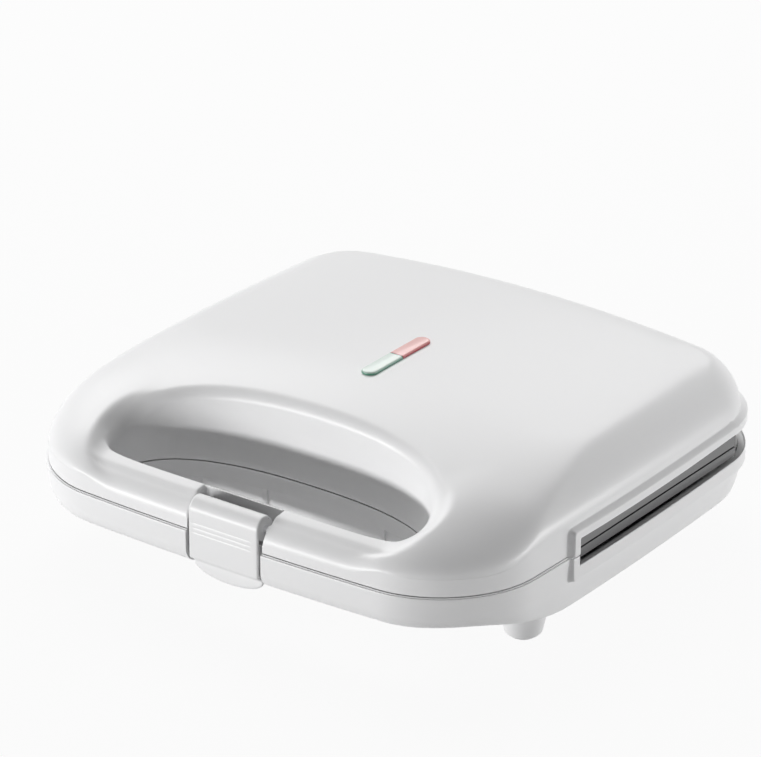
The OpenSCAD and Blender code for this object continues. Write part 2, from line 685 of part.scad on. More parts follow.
module lamp_holder() {
    color([0.9, 0.9, 0.88]) translate([0, lamp_y, lens_under - 1.1 - holder_h]) difference() {
        translate([-lamp_w / 2 - 2, -lamp_l / 2 - 2, 0]) cube([lamp_w + 4, lamp_l + 4, holder_h]);
        for (s = [-1, 1]) translate([0, s * lamp_l / 4, holder_h / 2 + 1.5])
            cube([lamp_w, lamp_l / 2 - 3, holder_h], center = true);
    }
}
neon_r = 2.2;
module neon_lamps() {
    color([0.9, 0.6, 0.4]) for (s = [-1, 1])
        translate([0, lamp_y + s * lamp_l / 4 - 6, lens_under - 1.1 - holder_h + 1.5 + neon_r])
            rotate([-90, 0, 0]) {
                cylinder(r = neon_r, h = 10, $fn = 32);
                translate([0, 0, 10]) sphere(r = neon_r, $fn = 32);
            }
}

// ---- inner panels ---------------------------------------------------------------------------
panel_t = 2;
panel_in = 0.9;
module panel_outline() {
    difference() {
        polygon(outline(lid_inset + wall + fit));
        polygon(grip_ring(wall + fit, 64));
        translate([-notch_w / 2 - wall - fit, -far / 2])
            square([notch_w + 2 * (wall + fit), far / 2 + grip_front]);
    }
}
module front_panel() {
    linear_extrude(panel_t) intersection() {
        panel_outline();
        translate([-far / 2, -far]) square([far, far + plate_front - fit - 0.2]);
    }
}
// The sleeve passes through a hole on side s.
module rear_panel(s) {
    linear_extrude(panel_t) difference() {
        intersection() {
            polygon(outline(lid_inset + wall + fit));
            translate([-far / 2, plate_back + fit]) square([far, far]);
        }
        for (x = [-hinge_x, hinge_x]) translate([x, leaf_y + 2])
            square([2 * hinge_reach + 2, 10], center = true);
        translate([s * sleeve_x, sleeve_y]) circle(sleeve_r + fit, $fn = 32);
    }
}
module lid_front_panel() {
    color([0.93, 0.93, 0.93]) translate([0, 0, seam_z + panel_in]) front_panel();
}
module base_front_panel() {
    color([0.93, 0.93, 0.93]) translate([0, 0, seam_z - panel_in - panel_t]) difference() {
        front_panel();
        translate([-notch_w / 2 - wall - fit, -far / 2, -1])
            cube([notch_w + 2 * (wall + fit), far / 2 + grip_front + 1, panel_t + 2]);
    }
}
module lid_rear_panel() {
    color([0.93, 0.93, 0.93]) translate([0, 0, vent_top + panel_in]) rear_panel(1);
}
module base_rear_panel() {
    color([0.93, 0.93, 0.93]) translate([0, 0, vent_bottom - panel_in - panel_t]) rear_panel(-1);
}

// ---- lid ------------------------------------------------------------------------------------
// Section of the bar beside the notch, just inside its skin.
bar_steps = 8;
module lid_bar_section() {
    front = -half_d + lid_inset + 0.3;
    back = grip_front - 0.8;
    polygon(concat([[back, lid_z + 0.2], [front, lid_z + 0.2]],
        [for (k = [0:bar_steps]) let (y = front + k * (back - 1.1 - front) / bar_steps)
            [y, lid_top([notch_w / 2, y]) - 0.4]], [[back, lid_z + bar_h - 4]]));
}
ceiling_drop = 1.2;
module hung_boss(p, z0, r) {
    around = [for (a = [0:45:315]) [p[0] + (r + 1) * cos(a), p[1] + (r + 1) * sin(a)]];
    z1 = min([for (q = around) lid_top(q)]) - ceiling_drop;
    translate([p[0], p[1], 0]) hull() {
        translate([0, 0, z0]) cylinder(r = r, h = 0.1, $fn = 24);
        translate([0, 0, z1 - 0.1]) cylinder(r = r + 0.8, h = 0.1, $fn = 24);
    }
}
// Post that a hinge leaf is screwed to, hung from the lid.
module hung_post(x) {
    y = leaf_y + leaf_t;
    top = min([for (e = [-1, 1]) lid_top([x + e * knuckle_l / 2, y + post_d + 1])]) - ceiling_drop;
    translate([x, y, 0]) hull() {
        translate([-knuckle_l / 2, 0, vent_top + 0.5]) cube([knuckle_l, post_d, 1]);
        translate([-knuckle_l / 2 - 1, 0, top - 1]) cube([knuckle_l + 2, post_d + 1, 1]);
    }
}
module lid_shell() {
    boss_z = seam_z + plate_gap + plate_t + 0.1;
    color([0.95, 0.95, 0.95]) difference() {
        union() {
            difference() {
                loop_skin(concat(lid_skin(0), reversed(lid_skin(wall))));
                slice(vent_y - root_step, far, lid_z - 1, vent_top + root_step);
            }
            lip(vent_top, vent_top + lip_h, lid_z + 0.15);
            for (x = [-notch_w / 2 - wall, notch_w / 2]) in_x(x, wall) lid_bar_section();
            for (p = plate_screw_at) hung_boss(p, boss_z, boss_r);
            for (p = post_at) hung_boss(p, seam_z + reflector_in + reflector_t, post_r);
            for (s = [-1, 1]) hung_post(s * hinge_x);
        }
        translate([-notch_w / 2, -far, lid_z - 1]) cube([notch_w, far + notch_back, bar_h + 8]);
        translate([0, lamp_y, lens_under - 2]) linear_extrude(far) stadium(lamp_l, lamp_w);
        in_x(-notch_w, 2 * notch_w) translate([pin_y, pin_z]) circle(latch_pin_r + 0.1, $fn = 32);
        at_each(plate_screw_at) translate([0, 0, boss_z - 1])
            cylinder(r = screw_r + screw_clear, h = screw_l + 1, $fn = 24);
        hinge_screw_at(1) cylinder(r = screw_r + screw_clear, h = leaf_t + post_d, $fn = 24);
    }
}

// ---- base -----------------------------------------------------------------------------------
// Behind the finger opening the base steps up, with two ribs on the belly's front wall.
step_back = 5.5;
step_y = grip_front + grip_d + step_back;
step_z = seam_z - 7.2;
step_w = grip_a - 11;
step_rib_x = 28.7;
step_rib_w = 2.6;
step_rib_d = 1.2;
block_back = 3;
module base_bar_block() {
    w = notch_w / 2 + wall;
    front = -half_d + 0.6;
    translate([-w, front, bar_bottom + 3]) cube([2 * w, bar_d - 0.6 - block_back, base_z - bar_bottom - 3.2]);
    translate([-w, -half_d + bar_under_r / 2, bar_bottom + 0.5])
        cube([2 * w, bar_d - bar_under_r / 2 - block_back, 4]);
}
module standing_boss(p, z1, r) {
    translate([p[0], p[1], 0]) hull() {
        translate([0, 0, belly_z + wall - 0.2]) cylinder(r = r, h = 0.1, $fn = 24);
        translate([0, 0, z1 - 0.1]) cylinder(r = r, h = 0.1, $fn = 24);
    }
}
cover_boss_h = 4.2;
module base_shell() {
    boss_z = seam_z - plate_gap - plate_t - 0.1;
    catch_z = hook_z + hook_h + 0.4;
    color([0.95, 0.95, 0.95]) difference() {
        union() {
            difference() {
                loop_skin(concat(base_skin(0), reversed(base_skin(wall))), true);
                slice(vent_y - root_step, far, vent_bottom - root_step, base_z + 1);
            }
            lip(vent_bottom, vent_bottom - lower_lip_h, base_z - 0.15);
            difference() {
                translate([-step_w - wall, grip_y, belly_z + 0.5])
                    cube([2 * (step_w + wall), step_y + wall - grip_y, step_z + wall - belly_z - 0.5]);
                linear_extrude(far) polygon([for (a = spoke) grip_point(a, wall / 2)]);
            }
            base_bar_block();
            for (p = plate_screw_at) standing_boss(p, boss_z, boss_r);
            for (p = post_at) standing_boss(p, seam_z - reflector_in - reflector_t, post_r);
            for (p = cover_screw_at) standing_boss(p, belly_z + cover_boss_h, boss_r);
            for (s = [-1, 1]) translate([s * hinge_x - hinge_reach, leaf_y + leaf_t, belly_z + 1])
                cube([2 * hinge_reach, post_d, vent_bottom - belly_z - 1.5]);
            translate([0, half_d - inlet_collar_d, inlet_z]) rotate([-90, 0, 0])
                cylinder(r = inlet_r + inlet_collar_t, h = inlet_collar_d + 0.2, $fn = 32);
        }
        difference() {
            translate([-step_w, grip_y, -1]) cube([2 * step_w, step_y - grip_y, step_z + 1]);
            for (s = [-1, 1]) translate([s * step_rib_x - step_rib_w / 2, step_y - step_rib_d, belly_z])
                cube([step_rib_w, 2 * step_rib_d, far]);
        }
        difference() {
            translate([-notch_w / 2, -far, -1]) cube([notch_w, far - half_d + recess_d, base_z + 2]);
            translate([-hook_w / 2 - 1, latch_back + fit, catch_z]) cube([hook_w + 2, recess_d, 2.4]);
        }
        translate([0, cover_y, belly_z - 1]) linear_extrude(2 + wall)
            round_rect(cover_w - 2 * cover_lap, cover_d - 2 * cover_lap, cover_r);
        at_each(plate_screw_at) translate([0, 0, boss_z - screw_l])
            cylinder(r = screw_r + screw_clear, h = screw_l + 1, $fn = 24);
        at_each(cover_screw_at) translate([0, 0, belly_z - 1])
            cylinder(r = screw_r + screw_clear, h = cover_boss_h + 1 - fit, $fn = 24);
        hinge_screw_at(-1) cylinder(r = screw_r + screw_clear, h = leaf_t + post_d, $fn = 24);
        translate([0, half_d, inlet_z]) rotate([90, 0, 0])
            cylinder(r = inlet_r + 0.1, h = 4 * inlet_collar_d, center = true, $fn = 32);
    }
}
slot_n = 9;
slot_pitch = 14;
slot_l = 50;
slot_w = 3;
module bottom_cover() {
    color([0.92, 0.92, 0.92]) translate([0, 0, belly_z - cover_t]) linear_extrude(cover_t) difference() {
        translate([0, cover_y]) round_rect(cover_w, cover_d, cover_r);
        for (i = [0:slot_n - 1]) translate([(i - (slot_n - 1) / 2) * slot_pitch, cover_y])
            stadium(slot_l, slot_w);
        at_each(cover_screw_at) circle(screw_r + screw_clear, $fn = 24);
    }
}
module cover_screws() {
    color("silver") translate([0, 0, belly_z - cover_t]) at_each(cover_screw_at) screw(cover_t + 3);
}
pad_t = 1.6;
foot_edge_r = 2;
module feet() {
    color([0.95, 0.95, 0.95]) at_each(foot_at) rotate_extrude($fn = 64) difference() {
        union() {
            polygon([[0, pad_proud], [foot_tip_r - foot_edge_r, pad_proud],
                [foot_tip_r, pad_proud + foot_edge_r], [foot_r, belly_z], [0, belly_z]]);
            translate([foot_tip_r - foot_edge_r, pad_proud + foot_edge_r]) circle(foot_edge_r, $fn = 32);
        }
        translate([-1, -1]) square([1 + pad_r + eps, pad_t + 1]);
        translate([-far, 0]) square([far, far]);
    }
}
module foot_pads() {
    color([0.8, 0.8, 0.8]) at_each(foot_at) cylinder(r = pad_r, h = pad_t, $fn = 48);
}
inlet_up = 9.2;         // the inlet's middle above the belly
inlet_z = belly_z + inlet_up;
inlet_r = 4;
inlet_bore_r = 2.8;
inlet_flange = 0.9;     // how far its flanges stand out
inlet_flange_t = 1.8;
inlet_collar_t = 1.8;   // wall of the collar that holds it
inlet_collar_d = 6;
inlet_back = half_d + 2;                // its ends, behind and inside the rear wall
inlet_front = half_d - wall - 5.6;
module cord_inlet() {
    length = inlet_back - inlet_front;
    color([0.9, 0.9, 0.9]) translate([0, inlet_front, inlet_z]) rotate([-90, 0, 0]) difference() {
        union() {
            cylinder(r = inlet_r, h = length, $fn = 48);
            for (z = [0, length - inlet_flange_t]) translate([0, 0, z])
                cylinder(r = inlet_r + inlet_flange, h = inlet_flange_t, $fn = 48);
        }
        translate([0, 0, -1]) cylinder(r = inlet_bore_r, h = length + 2, $fn = 48);
    }
}
terminal_size = [30, 11, 9];
terminal_gap = 6.1;     // in front of the inlet, for the wires' bend
wire_hole_r = 1.6;
clamp_hole_r = 1.8;
module terminal_block() {
    w = terminal_size[0];
    d = terminal_size[1];
    h = terminal_size[2];
    y = inlet_front - terminal_gap - d;
    color([0.93, 0.92, 0.88]) translate([-w / 2, y, belly_z + wall + 0.1]) difference() {
        cube(terminal_size);
        for (i = [0:2]) translate([w * (i + 0.5) / 3, 0, h / 2]) {
            translate([0, -1, 0]) rotate([-90, 0, 0]) cylinder(r = wire_hole_r, h = d + 2, $fn = 24);
            translate([0, d / 2, 0]) cylinder(r = clamp_hole_r, h = h, $fn = 24);
        }
    }
}

base_shell();
bottom_cover();
base_front_panel();
base_rear_panel();
lower_plate();
lower_plate_screws();
lower_heater();
lower_reflector();
thermal_fuse();
terminal_block();
cover_screws();
feet();
foot_pads();
cord_inlet();
base_hinges();
base_hinge_screws();
hinge_pins();
lower_wire_sleeve();
lid_shell();
lid_front_panel();
lid_rear_panel();
upper_plate();
upper_plate_screws();
upper_heater();
upper_reflector();
thermostat();
lamp_holder();
neon_lamps();
lens_green();
lens_red();
lid_hinges();
lid_hinge_screws();
upper_wire_sleeve();
latch_pin();
latch();
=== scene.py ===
import bpy
import math
from mathutils import Matrix, Vector


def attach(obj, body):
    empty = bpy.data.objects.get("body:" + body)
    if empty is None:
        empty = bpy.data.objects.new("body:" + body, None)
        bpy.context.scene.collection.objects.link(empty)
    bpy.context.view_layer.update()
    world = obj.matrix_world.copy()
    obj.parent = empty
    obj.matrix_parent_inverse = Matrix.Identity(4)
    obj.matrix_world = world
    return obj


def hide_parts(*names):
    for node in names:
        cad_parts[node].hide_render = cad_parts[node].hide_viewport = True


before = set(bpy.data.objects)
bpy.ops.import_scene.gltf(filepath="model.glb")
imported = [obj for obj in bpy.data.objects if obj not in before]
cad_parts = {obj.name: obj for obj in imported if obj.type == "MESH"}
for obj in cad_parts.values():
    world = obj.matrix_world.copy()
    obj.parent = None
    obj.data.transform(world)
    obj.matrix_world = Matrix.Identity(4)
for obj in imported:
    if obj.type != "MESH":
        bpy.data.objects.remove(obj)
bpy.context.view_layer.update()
mm = 0.001
print("frame loaded:", len(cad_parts), "nodes")


# Small helpers for working in edit mode.
def clearSelection():
    if bpy.context.mode != "OBJECT":
        bpy.ops.object.mode_set(mode="OBJECT")
    bpy.ops.object.select_all(action="DESELECT")


def newPiece(name):
    piece = bpy.context.object  # the primitive that was just added
    piece.name = name
    piece.data.name = name
    return piece


def pickOnly(piece):
    clearSelection()
    piece.select_set(True)
    bpy.context.view_layer.objects.active = piece


def editAll(piece):
    pickOnly(piece)
    bpy.ops.object.mode_set(mode="EDIT")
    bpy.ops.mesh.select_all(action="SELECT")


def selectFaces(piece, wanted):  # leaves the piece in edit mode with just these faces selected
    editAll(piece)
    bpy.ops.mesh.select_mode(type="FACE")
    bpy.ops.mesh.select_all(action="DESELECT")
    bpy.ops.object.mode_set(mode="OBJECT")
    for face in piece.data.polygons:
        face.select = wanted(face)
    bpy.ops.object.mode_set(mode="EDIT")


def applyPlace(piece):  # the place goes into the mesh and the object to the origin
    pickOnly(piece)
    bpy.ops.object.transform_apply(location=True, rotation=True, scale=True)


def applyModifier(piece, kind, **settings):
    pickOnly(piece)
    modifier = piece.modifiers.new(kind.title(), kind)
    for name, value in settings.items():
        setattr(modifier, name, value)
    bpy.ops.object.modifier_apply(modifier=modifier.name)


def joinPieces(name, parts):
    clearSelection()
    for part in parts:
        part.select_set(True)
    bpy.context.view_layer.objects.active = parts[0]
    bpy.ops.object.join()
    return newPiece(name)


def makeBlock(name, size, place, rounding, segments):
    clearSelection()
    bpy.ops.mesh.primitive_cube_add(size=1)
    block = newPiece(name)
    block.scale = [side * mm for side in size]
    block.location = [distance * mm for distance in place]
    applyPlace(block)
    applyModifier(block, "BEVEL", width=rounding * mm, segments=segments)
    return block


def smoothShade(piece, degrees):
    pickOnly(piece)
    bpy.ops.object.shade_smooth_by_angle(angle=math.radians(degrees))


def dress(piece, bodyName, slotName, finish, *nodes):
    piece.data.materials.clear()
    piece.data.materials.append(finish)
    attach(piece, bodyName)
    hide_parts(*nodes)


# A grid of columns and rows whose points lie on a surface. A closed one joins its last column to its first.
def surfaceGrid(name, columns, rows, closed, place):
    clearSelection()
    across = columns if closed else columns - 1
    bpy.ops.mesh.primitive_grid_add(x_subdivisions=across, y_subdivisions=rows - 1, size=1)
    piece = newPiece(name)
    for row in range(rows):
        for column in range(across + 1):
            spot = place(column % columns, row)
            piece.data.vertices[row * (across + 1) + column].co = Vector(spot) * mm
    return piece


meshLimits = {"weld": 0.002, "sliver": 0.001}  # millimetres


def weld(piece, flip):
    editAll(piece)
    bpy.ops.mesh.remove_doubles(threshold=meshLimits["weld"] * mm)
    bpy.ops.mesh.dissolve_degenerate(threshold=meshLimits["sliver"] * mm)
    bpy.ops.mesh.select_all(action="SELECT")
    if flip:
        bpy.ops.mesh.flip_normals()
    bpy.ops.object.mode_set(mode="OBJECT")


def steps(start, end, count):  # count places from start up to, and without, end
    return [start + (end - start) * k / count for k in range(count)]


def smooth(t):
    u = min(1, max(0, t))
    return u * u * (3 - 2 * u)


def mix(a, b, t):
    return a + (b - a) * t


def ramp(value, start, length):
    return smooth((value - start) / length)


# The body's outline, in millimetres. A turn is how far an edge draws back, row by row from the seam.
body = {
    "width": 230, "depth": 221.9, "seam": 38, "seamGap": 0.5, "wall": 2.2, "lidInset": 1.2,
    "frontBow": 4.4, "rearBow": 2.5, "sideBow": 3.4, "frontCorner": 42.4, "rearCorner": 36,
    "lidTurn": [0.3, 0.1],
    "baseTurn": [1, 0.95, 0.3, 0.1],  # the base's edge has a low tongue behind the seam
}
halfWidth = body["width"] / 2
halfDepth = body["depth"] / 2
lidEdge = body["seam"] + body["seamGap"] / 2
baseEdge = body["seam"] - body["seamGap"] / 2
hair = 0.01  # for comparing places

notch = {"half": 18.6, "back": -97.5, "baseBack": -105.2, "edgeRound": 1.4, "wallShare": 0.94, "fade": 3}
vent = {
    "front": -40.6, "top": 44.8, "bottom": 33.5, "leg": 5.4, "corner": 2.6, "roll": 0.3, "rollDeep": 0.25,
    "upperLip": 5.1, "upperProud": 1.7, "upperSoft": 1.7,
    "lowerLip": 6.8, "lowerProud": 1.5, "lowerSoft": 1.3,
}
# The finger opening. A pair is where a change starts and over what length it goes on.
grip = {
    "half": 71, "front": -95, "turn": 10, "deep": 43.6, "rearPower": 2.45, "frontPower": 5, "draft": 1.2,
    "barEnd": 58, "spread": (20, 40), "shift": (40, 20), "seamTurn": 0.15,
}
# Columns in each stretch of the outline, and where they stand close together beside an edge.
spacing = {
    "notch": 7, "front": 20, "frontCorner": 26, "sideFront": 8, "edge": 3, "leg": 12, "side": 34,
    "rearCorner": 20, "rear": 24,
    "besideNotch": [-0.05, 0, 0.25, 0.6, 1, 1.6],
    "besideLeg": [-1, -0.2, 2, 3.2],
    "besideVent": [-0.6, -vent["roll"], -0.12, 0, 0.3, 1, 3],
}


def bowed(x, y):
    v = y / halfDepth
    bow = body["frontBow"] if v < 0 else -body["rearBow"]
    return x * (1 - body["sideBow"] * v * v / halfWidth), y + bow * (x / halfWidth) ** 2 * abs(v)


def unbowed(x, y):
    v = y / halfDepth
    bow = body["frontBow"] if v < 0 else -body["rearBow"]
    return x / (1 - body["sideBow"] * v * v / halfWidth), y - bow * (x / halfWidth) ** 2 * abs(v)


def signedPower(value, power):
    return math.copysign(abs(value) ** power, value)


def gripPoint(angle, out):
    front = math.sin(angle) < 0
    power = 2 / (grip["frontPower"] if front else grip["rearPower"])
    reach = grip["turn"] if front else grip["deep"] - grip["turn"]
    return ((grip["half"] + out) * signedPower(math.cos(angle), power),
            grip["front"] + grip["turn"] + (reach + out) * signedPower(math.sin(angle), power))


# The right half of the outline, from the front's middle to the rear's: each point and its outward normal.
def halfOutline():
    corner, rear = body["frontCorner"], body["rearCorner"]
    straight = halfWidth - corner
    sideFront, sideRear = -halfDepth + corner, halfDepth - rear
    beside = [notch["half"] + d for d in spacing["besideNotch"]]
    fronts = steps(0, beside[0], spacing["notch"]) + beside[:-1]
    fronts += steps(beside[-1], straight, spacing["front"])
    points = [(x, -halfDepth, 0, -1) for x in fronts]
    for angle in steps(0, math.pi / 2, spacing["frontCorner"]):
        nx, ny = math.sin(angle), -math.cos(angle)
        points.append((straight + corner * nx, sideFront + corner * ny, nx, ny))
    leg = [vent["front"] - vent["leg"] + d for d in spacing["besideLeg"]]
    mouth = [vent["front"] + d for d in spacing["besideVent"]]
    places = steps(sideFront, leg[0], spacing["sideFront"]) + steps(leg[0], leg[1], spacing["edge"])
    places += steps(leg[1], leg[2], spacing["leg"]) + steps(leg[2], leg[3], spacing["edge"])
    places += steps(leg[3], mouth[0], spacing["edge"]) + mouth[:-1]
    places += steps(mouth[-1], sideRear, spacing["side"])
    points += [(halfWidth, y, 1, 0) for y in places]
    for angle in steps(0, math.pi / 2, spacing["rearCorner"]):
        nx, ny = math.cos(angle), math.sin(angle)
        points.append((halfWidth - rear + rear * nx, sideRear + rear * ny, nx, ny))
    backs = steps(halfWidth - rear, 0, spacing["rear"]) + [0]
    return points + [(x, halfDepth, 0, 1) for x in backs]


def gripAngles(points):  # the same x along the bar, then shared out evenly round the opening's rear
    power = grip["frontPower"] / 2
    fine = 600

    def barAngle(x):
        return -math.acos((x / grip["half"]) ** power)

    start = barAngle(grip["barEnd"])
    turning = [start + (math.pi / 2 - start) * k / fine for k in range(fine + 1)]
    ring = [gripPoint(angle, 0) for angle in turning]
    lengths = [0]
    for a, b in zip(ring, ring[1:]):
        lengths.append(lengths[-1] + math.dist(a, b))
    first = next(i for i, point in enumerate(points) if point[0] >= grip["barEnd"])
    travelled = [0]
    for a, b in zip(points[first:], points[first + 1:]):
        travelled.append(travelled[-1] + math.dist(a[:2], b[:2]))
    angles = [barAngle(point[0]) for point in points[:first]]
    for distance in travelled:
        goal = lengths[-1] * distance / travelled[-1]
        angles.append(turning[next(i for i, length in enumerate(lengths) if length >= goal - 1e-9)])
    return angles


halfPoints = halfOutline()
halfAngles = gripAngles(halfPoints)
columns = [(p[0], p[1], p[2], p[3], a) for p, a in zip(halfPoints, halfAngles)]
columns += [(-c[0], c[1], -c[2], c[3], math.pi - c[4]) for c in reversed(columns[1:-1])]
columnCount = len(columns)
print("outline columns:", columnCount)


def outlinePoint(column, inset):
    x, y, nx, ny, _ = columns[column]
    return bowed(x - nx * inset, y - ny * inset)


def openingPoint(column, out):
    x, _, _, ny, angle = columns[column]
    gx, gy = gripPoint(angle, out)
    if ny == -1:  # columns run straight back over the bar
        straight = x * (1 + out / grip["half"] * ramp(abs(x), *grip["spread"]))
        gx = mix(straight, gx, ramp(abs(x), *grip["shift"]))
    return gx, gy


# A closed skin round the body: bands of rows, each with its own way of placing a point.
def makeSkin(name, bands):
    def place(column, row):
        for count, placeInBand in bands:
            if row < count:
                return placeInBand(column, row)
            row -= count

    return surfaceGrid(name, columnCount, sum(count for count, _ in bands), True, place)


# The lid's height over each point.
lid = {
    "wallHigh": 12, "cornerWallHigh": 7.5, "wallBehind": (-88, 34), "shoulder": 13.2, "sideShoulder": 17.3,
    "rearShoulder": 16.5, "frontSlope": 94, "frontTurn": 19, "rearTurn": 10, "crownX": 8.1, "crownY": 3.3,
    "power": 1.6, "fullPower": 1.95, "fullBehind": (-75, 40), "fullBeside": (60, 25),
    "rimRadius": 5, "barRim": 1.2, "rimSpread": 1.2,
}
bar = {
    "deep": 16, "high": 14, "face": 3, "roundHigh": 8.8, "roundDeep": 6.6, "blend": 5,
    "strip": 2, "stripFrom": 5.4, "stripTo": 8,
    "endZone": 9, "endInside": 4, "endRise": 0.05, "outerEnd": 54, "outerRise": 0.022,
    "backGap": 7, "backRise": 0.03,
}


def outsideLevel(x, y, g):
    w = halfWidth - body["lidInset"] - lid["sideShoulder"] * g
    f = -halfDepth + body["lidInset"] + lid["frontSlope"] * g
    b = halfDepth - body["lidInset"] - lid["rearShoulder"] * g
    c = (f + b) / 2
    turns = (body["frontCorner"], lid["frontTurn"]) if y < c else (body["rearCorner"], lid["rearTurn"])
    r = mix(*turns, g)
    dx = abs(x) - w + r
    dy = abs(y - c) - (b - f) / 2 + r
    return math.hypot(max(dx, 0), max(dy, 0)) - r + min(max(dx, dy), 0)


def lidLevel(x, y):
    if outsideLevel(x, y, 1) < 0:
        return 1
    if outsideLevel(x, y, 0) > 0:
        return 0
    low, high = 0, 1
    for _ in range(16):
        middle = (low + high) / 2
        if outsideLevel(x, y, middle) < 0:
            low = middle
        else:
            high = middle
    return (low + high) / 2


def plainLid(x, y):
    g = lidLevel(*unbowed(x, y))
    full = max(ramp(y, *lid["fullBehind"]), ramp(abs(x), *lid["fullBeside"]))
    full = mix(lid["power"], lid["fullPower"], full)
    rise = max(0, 1 - (1 - g) ** lid["power"]) ** (1 / full)
    wall = mix(lid["cornerWallHigh"], lid["wallHigh"], ramp(y, *lid["wallBehind"]))
    crown = lid["crownX"] * (1 - (x / halfWidth) ** 2) + lid["crownY"] * (1 - (y / halfDepth) ** 2)
    return body["seam"] + wall + rise * (lid["shoulder"] + crown + lid["wallHigh"] - wall)


def barTop(x, y):
    d = max(0, y + halfDepth - body["lidInset"] - body["frontBow"] * (x / halfWidth) ** 2)
    inner = smooth(d / bar["endZone"])  # the ends rise sooner at the outer edge
    side = max(0, abs(x) - mix(bar["outerEnd"], grip["half"] - bar["endInside"], inner))
    back = max(0, y + halfDepth - bar["deep"] - bar["backGap"])
    face = body["seam"] + bar["face"]
    rounding = bar["roundHigh"] * math.sqrt(1 - (1 - min(1, d / bar["roundDeep"])) ** 2)
    strip = bar["strip"] * ramp(d, bar["stripFrom"], bar["stripTo"] - bar["stripFrom"])
    rest = (bar["high"] - bar["face"] - bar["roundHigh"] - bar["strip"]) * smooth(d / bar["deep"])
    ends = mix(bar["outerRise"], bar["endRise"], inner) * side * side
    return face + rounding + strip + rest + ends + bar["backRise"] * back * back


def softMin(a, b, k):
    h = min(1, max(0, 0.5 + 0.5 * (b - a) / k))
    return b + (a - b) * h - k * h * (1 - h)


def lidTop(x, y):
    return softMin(plainLid(x, y), barTop(x, y), bar["blend"])


# How far the side wall stands out at a vent's lip: 1 on the lip and its upright leg, 0 on the wall.
def lipShare(y, z, lipEdge, upwards, soft):
    legFront = vent["front"] - vent["leg"]
    dy = legFront - y
    dz = (z - lipEdge) * upwards
    r = vent["corner"]
    outside = math.hypot(max(dy + r, 0), max(dz + r, 0)) + min(max(dy + r, dz + r), 0) - r
    return 1 - smooth((outside + soft) / soft)


def ventRoll(y, z, ventEdge, upwards):  # 1 at the vent's edge, where the lip is turned in a little
    roll = vent["roll"]
    level = abs(z - ventEdge) if y > vent["front"] - roll else roll
    upright = abs(y - vent["front"]) if (z - ventEdge) * upwards <= 0 else roll
    return max(0, 1 - min(level, upright) / roll)


# The lid moulding: one skin from the seam up the wall, over the top and down the finger opening.
# Its rows on the wall stand above the seam, beside the vent's edge and in a fine band at the wall's top.
lidRows = {
    "seam": [0, 0.12, 0.5, 2, 4],
    "ventEdge": [-0.65, -0.25, 0, 0.15, 0.35, 0.65, 1.15, 1.75, 2.25, 2.65],
    "topFrom": 2.25, "topStep": 0.18, "topCount": 12,
    "shoulder": [0, 0.12, 0.3, 0.6, 1, 1.5, 2.1, 2.8, 3.6, 4.5, 5.5, 6.5, 7.5, 8.5, 9.6, 10.8, 12, 13.2, 14.6,
                 16],
    "shoulderShare": 0.8, "crown": 16, "rim": 10,
}
ventRise = vent["top"] - lidEdge
wallRise = body["seam"] + lid["wallHigh"] - lidEdge
wallLevels = lidRows["seam"] + [ventRise + d for d in lidRows["ventEdge"]]
wallLevels += [wallRise - lidRows["topFrom"] + lidRows["topStep"] * k for k in range(lidRows["topCount"])]
nearRows = lidRows["shoulder"]
farRows = [(k + 1) / lidRows["crown"] for k in range(lidRows["crown"])]
topRows = len(nearRows) + len(farRows)
rimTurns = [math.radians(90 - 90 / lidRows["rim"] * k) for k in range(1, lidRows["rim"] + 1)]
scoopRows = [0.1, 0.3, 0.5, 0.7, 0.9, 0.985, 1]


def rimRadius(column):
    angle = columns[column][4]
    return mix(lid["barRim"], lid["rimRadius"], smooth(0.5 + math.sin(angle) * lid["rimSpread"]))


def isNotch(column):
    return abs(columns[column][0]) < notch["half"] - hair and columns[column][3] == -1


def notchDrop(column):  # the notch's upper edges are eased
    x, ny = abs(columns[column][0]), columns[column][3]
    r = notch["edgeRound"]
    if ny != -1 or x < notch["half"] - hair or x > notch["half"] + r:
        return 0
    return r - math.sqrt(r * r - (notch["half"] + r - x) ** 2)


def lidWall(column, row):
    x, y = outlinePoint(column, body["lidInset"])
    rise = wallLevels[row] / wallRise
    z = lidEdge + (lidTop(x, y) - lidEdge) * rise
    side = columns[column][1]
    out = vent["upperProud"] + body["lidInset"]
    share = lipShare(side, z, vent["top"] + vent["upperLip"], 1, vent["upperSoft"]) * out
    share -= vent["rollDeep"] * ventRoll(side, z, vent["top"], 1)
    if row < len(body["lidTurn"]):
        share -= body["lidTurn"][row]
    x, y = outlinePoint(column, body["lidInset"] - share)
    if isNotch(column):
        high = lidTop(x, notch["back"])
        return x, notch["back"], lidEdge + (high - lidEdge) * notch["wallShare"] * rise
    return x, y, z - notchDrop(column) * rise ** notch["fade"]


def lidOver(column, row):  # from the wall over the top to the opening's rim
    ox, oy = outlinePoint(column, body["lidInset"])
    gx, gy = openingPoint(column, grip["draft"] + rimRadius(column))
    span = math.hypot(gx - ox, gy - oy)
    zone = min(nearRows[-1], lidRows["shoulderShare"] * span)
    if row < len(nearRows):
        t = nearRows[row] / nearRows[-1] * zone / span
    else:
        t = mix(zone / span, 1, farRows[row - len(nearRows)])
    x, y = mix(ox, gx, t), mix(oy, gy, t)
    if isNotch(column):
        high = lidTop(x, notch["back"])
        low = lidEdge + (high - lidEdge) * notch["wallShare"]
        return x, notch["back"], mix(low, high, (row + 1) / topRows)
    return x, y, lidTop(x, y) - notchDrop(column)


def lidRim(column, row):
    radius = rimRadius(column)
    turn = rimTurns[row]
    drop = notchDrop(column) * (1 - row / len(rimTurns))
    x, y = openingPoint(column, grip["draft"] + radius * (1 - math.cos(turn)))
    return x, y, lidTop(x, y) - radius * (1 - math.sin(turn)) - drop


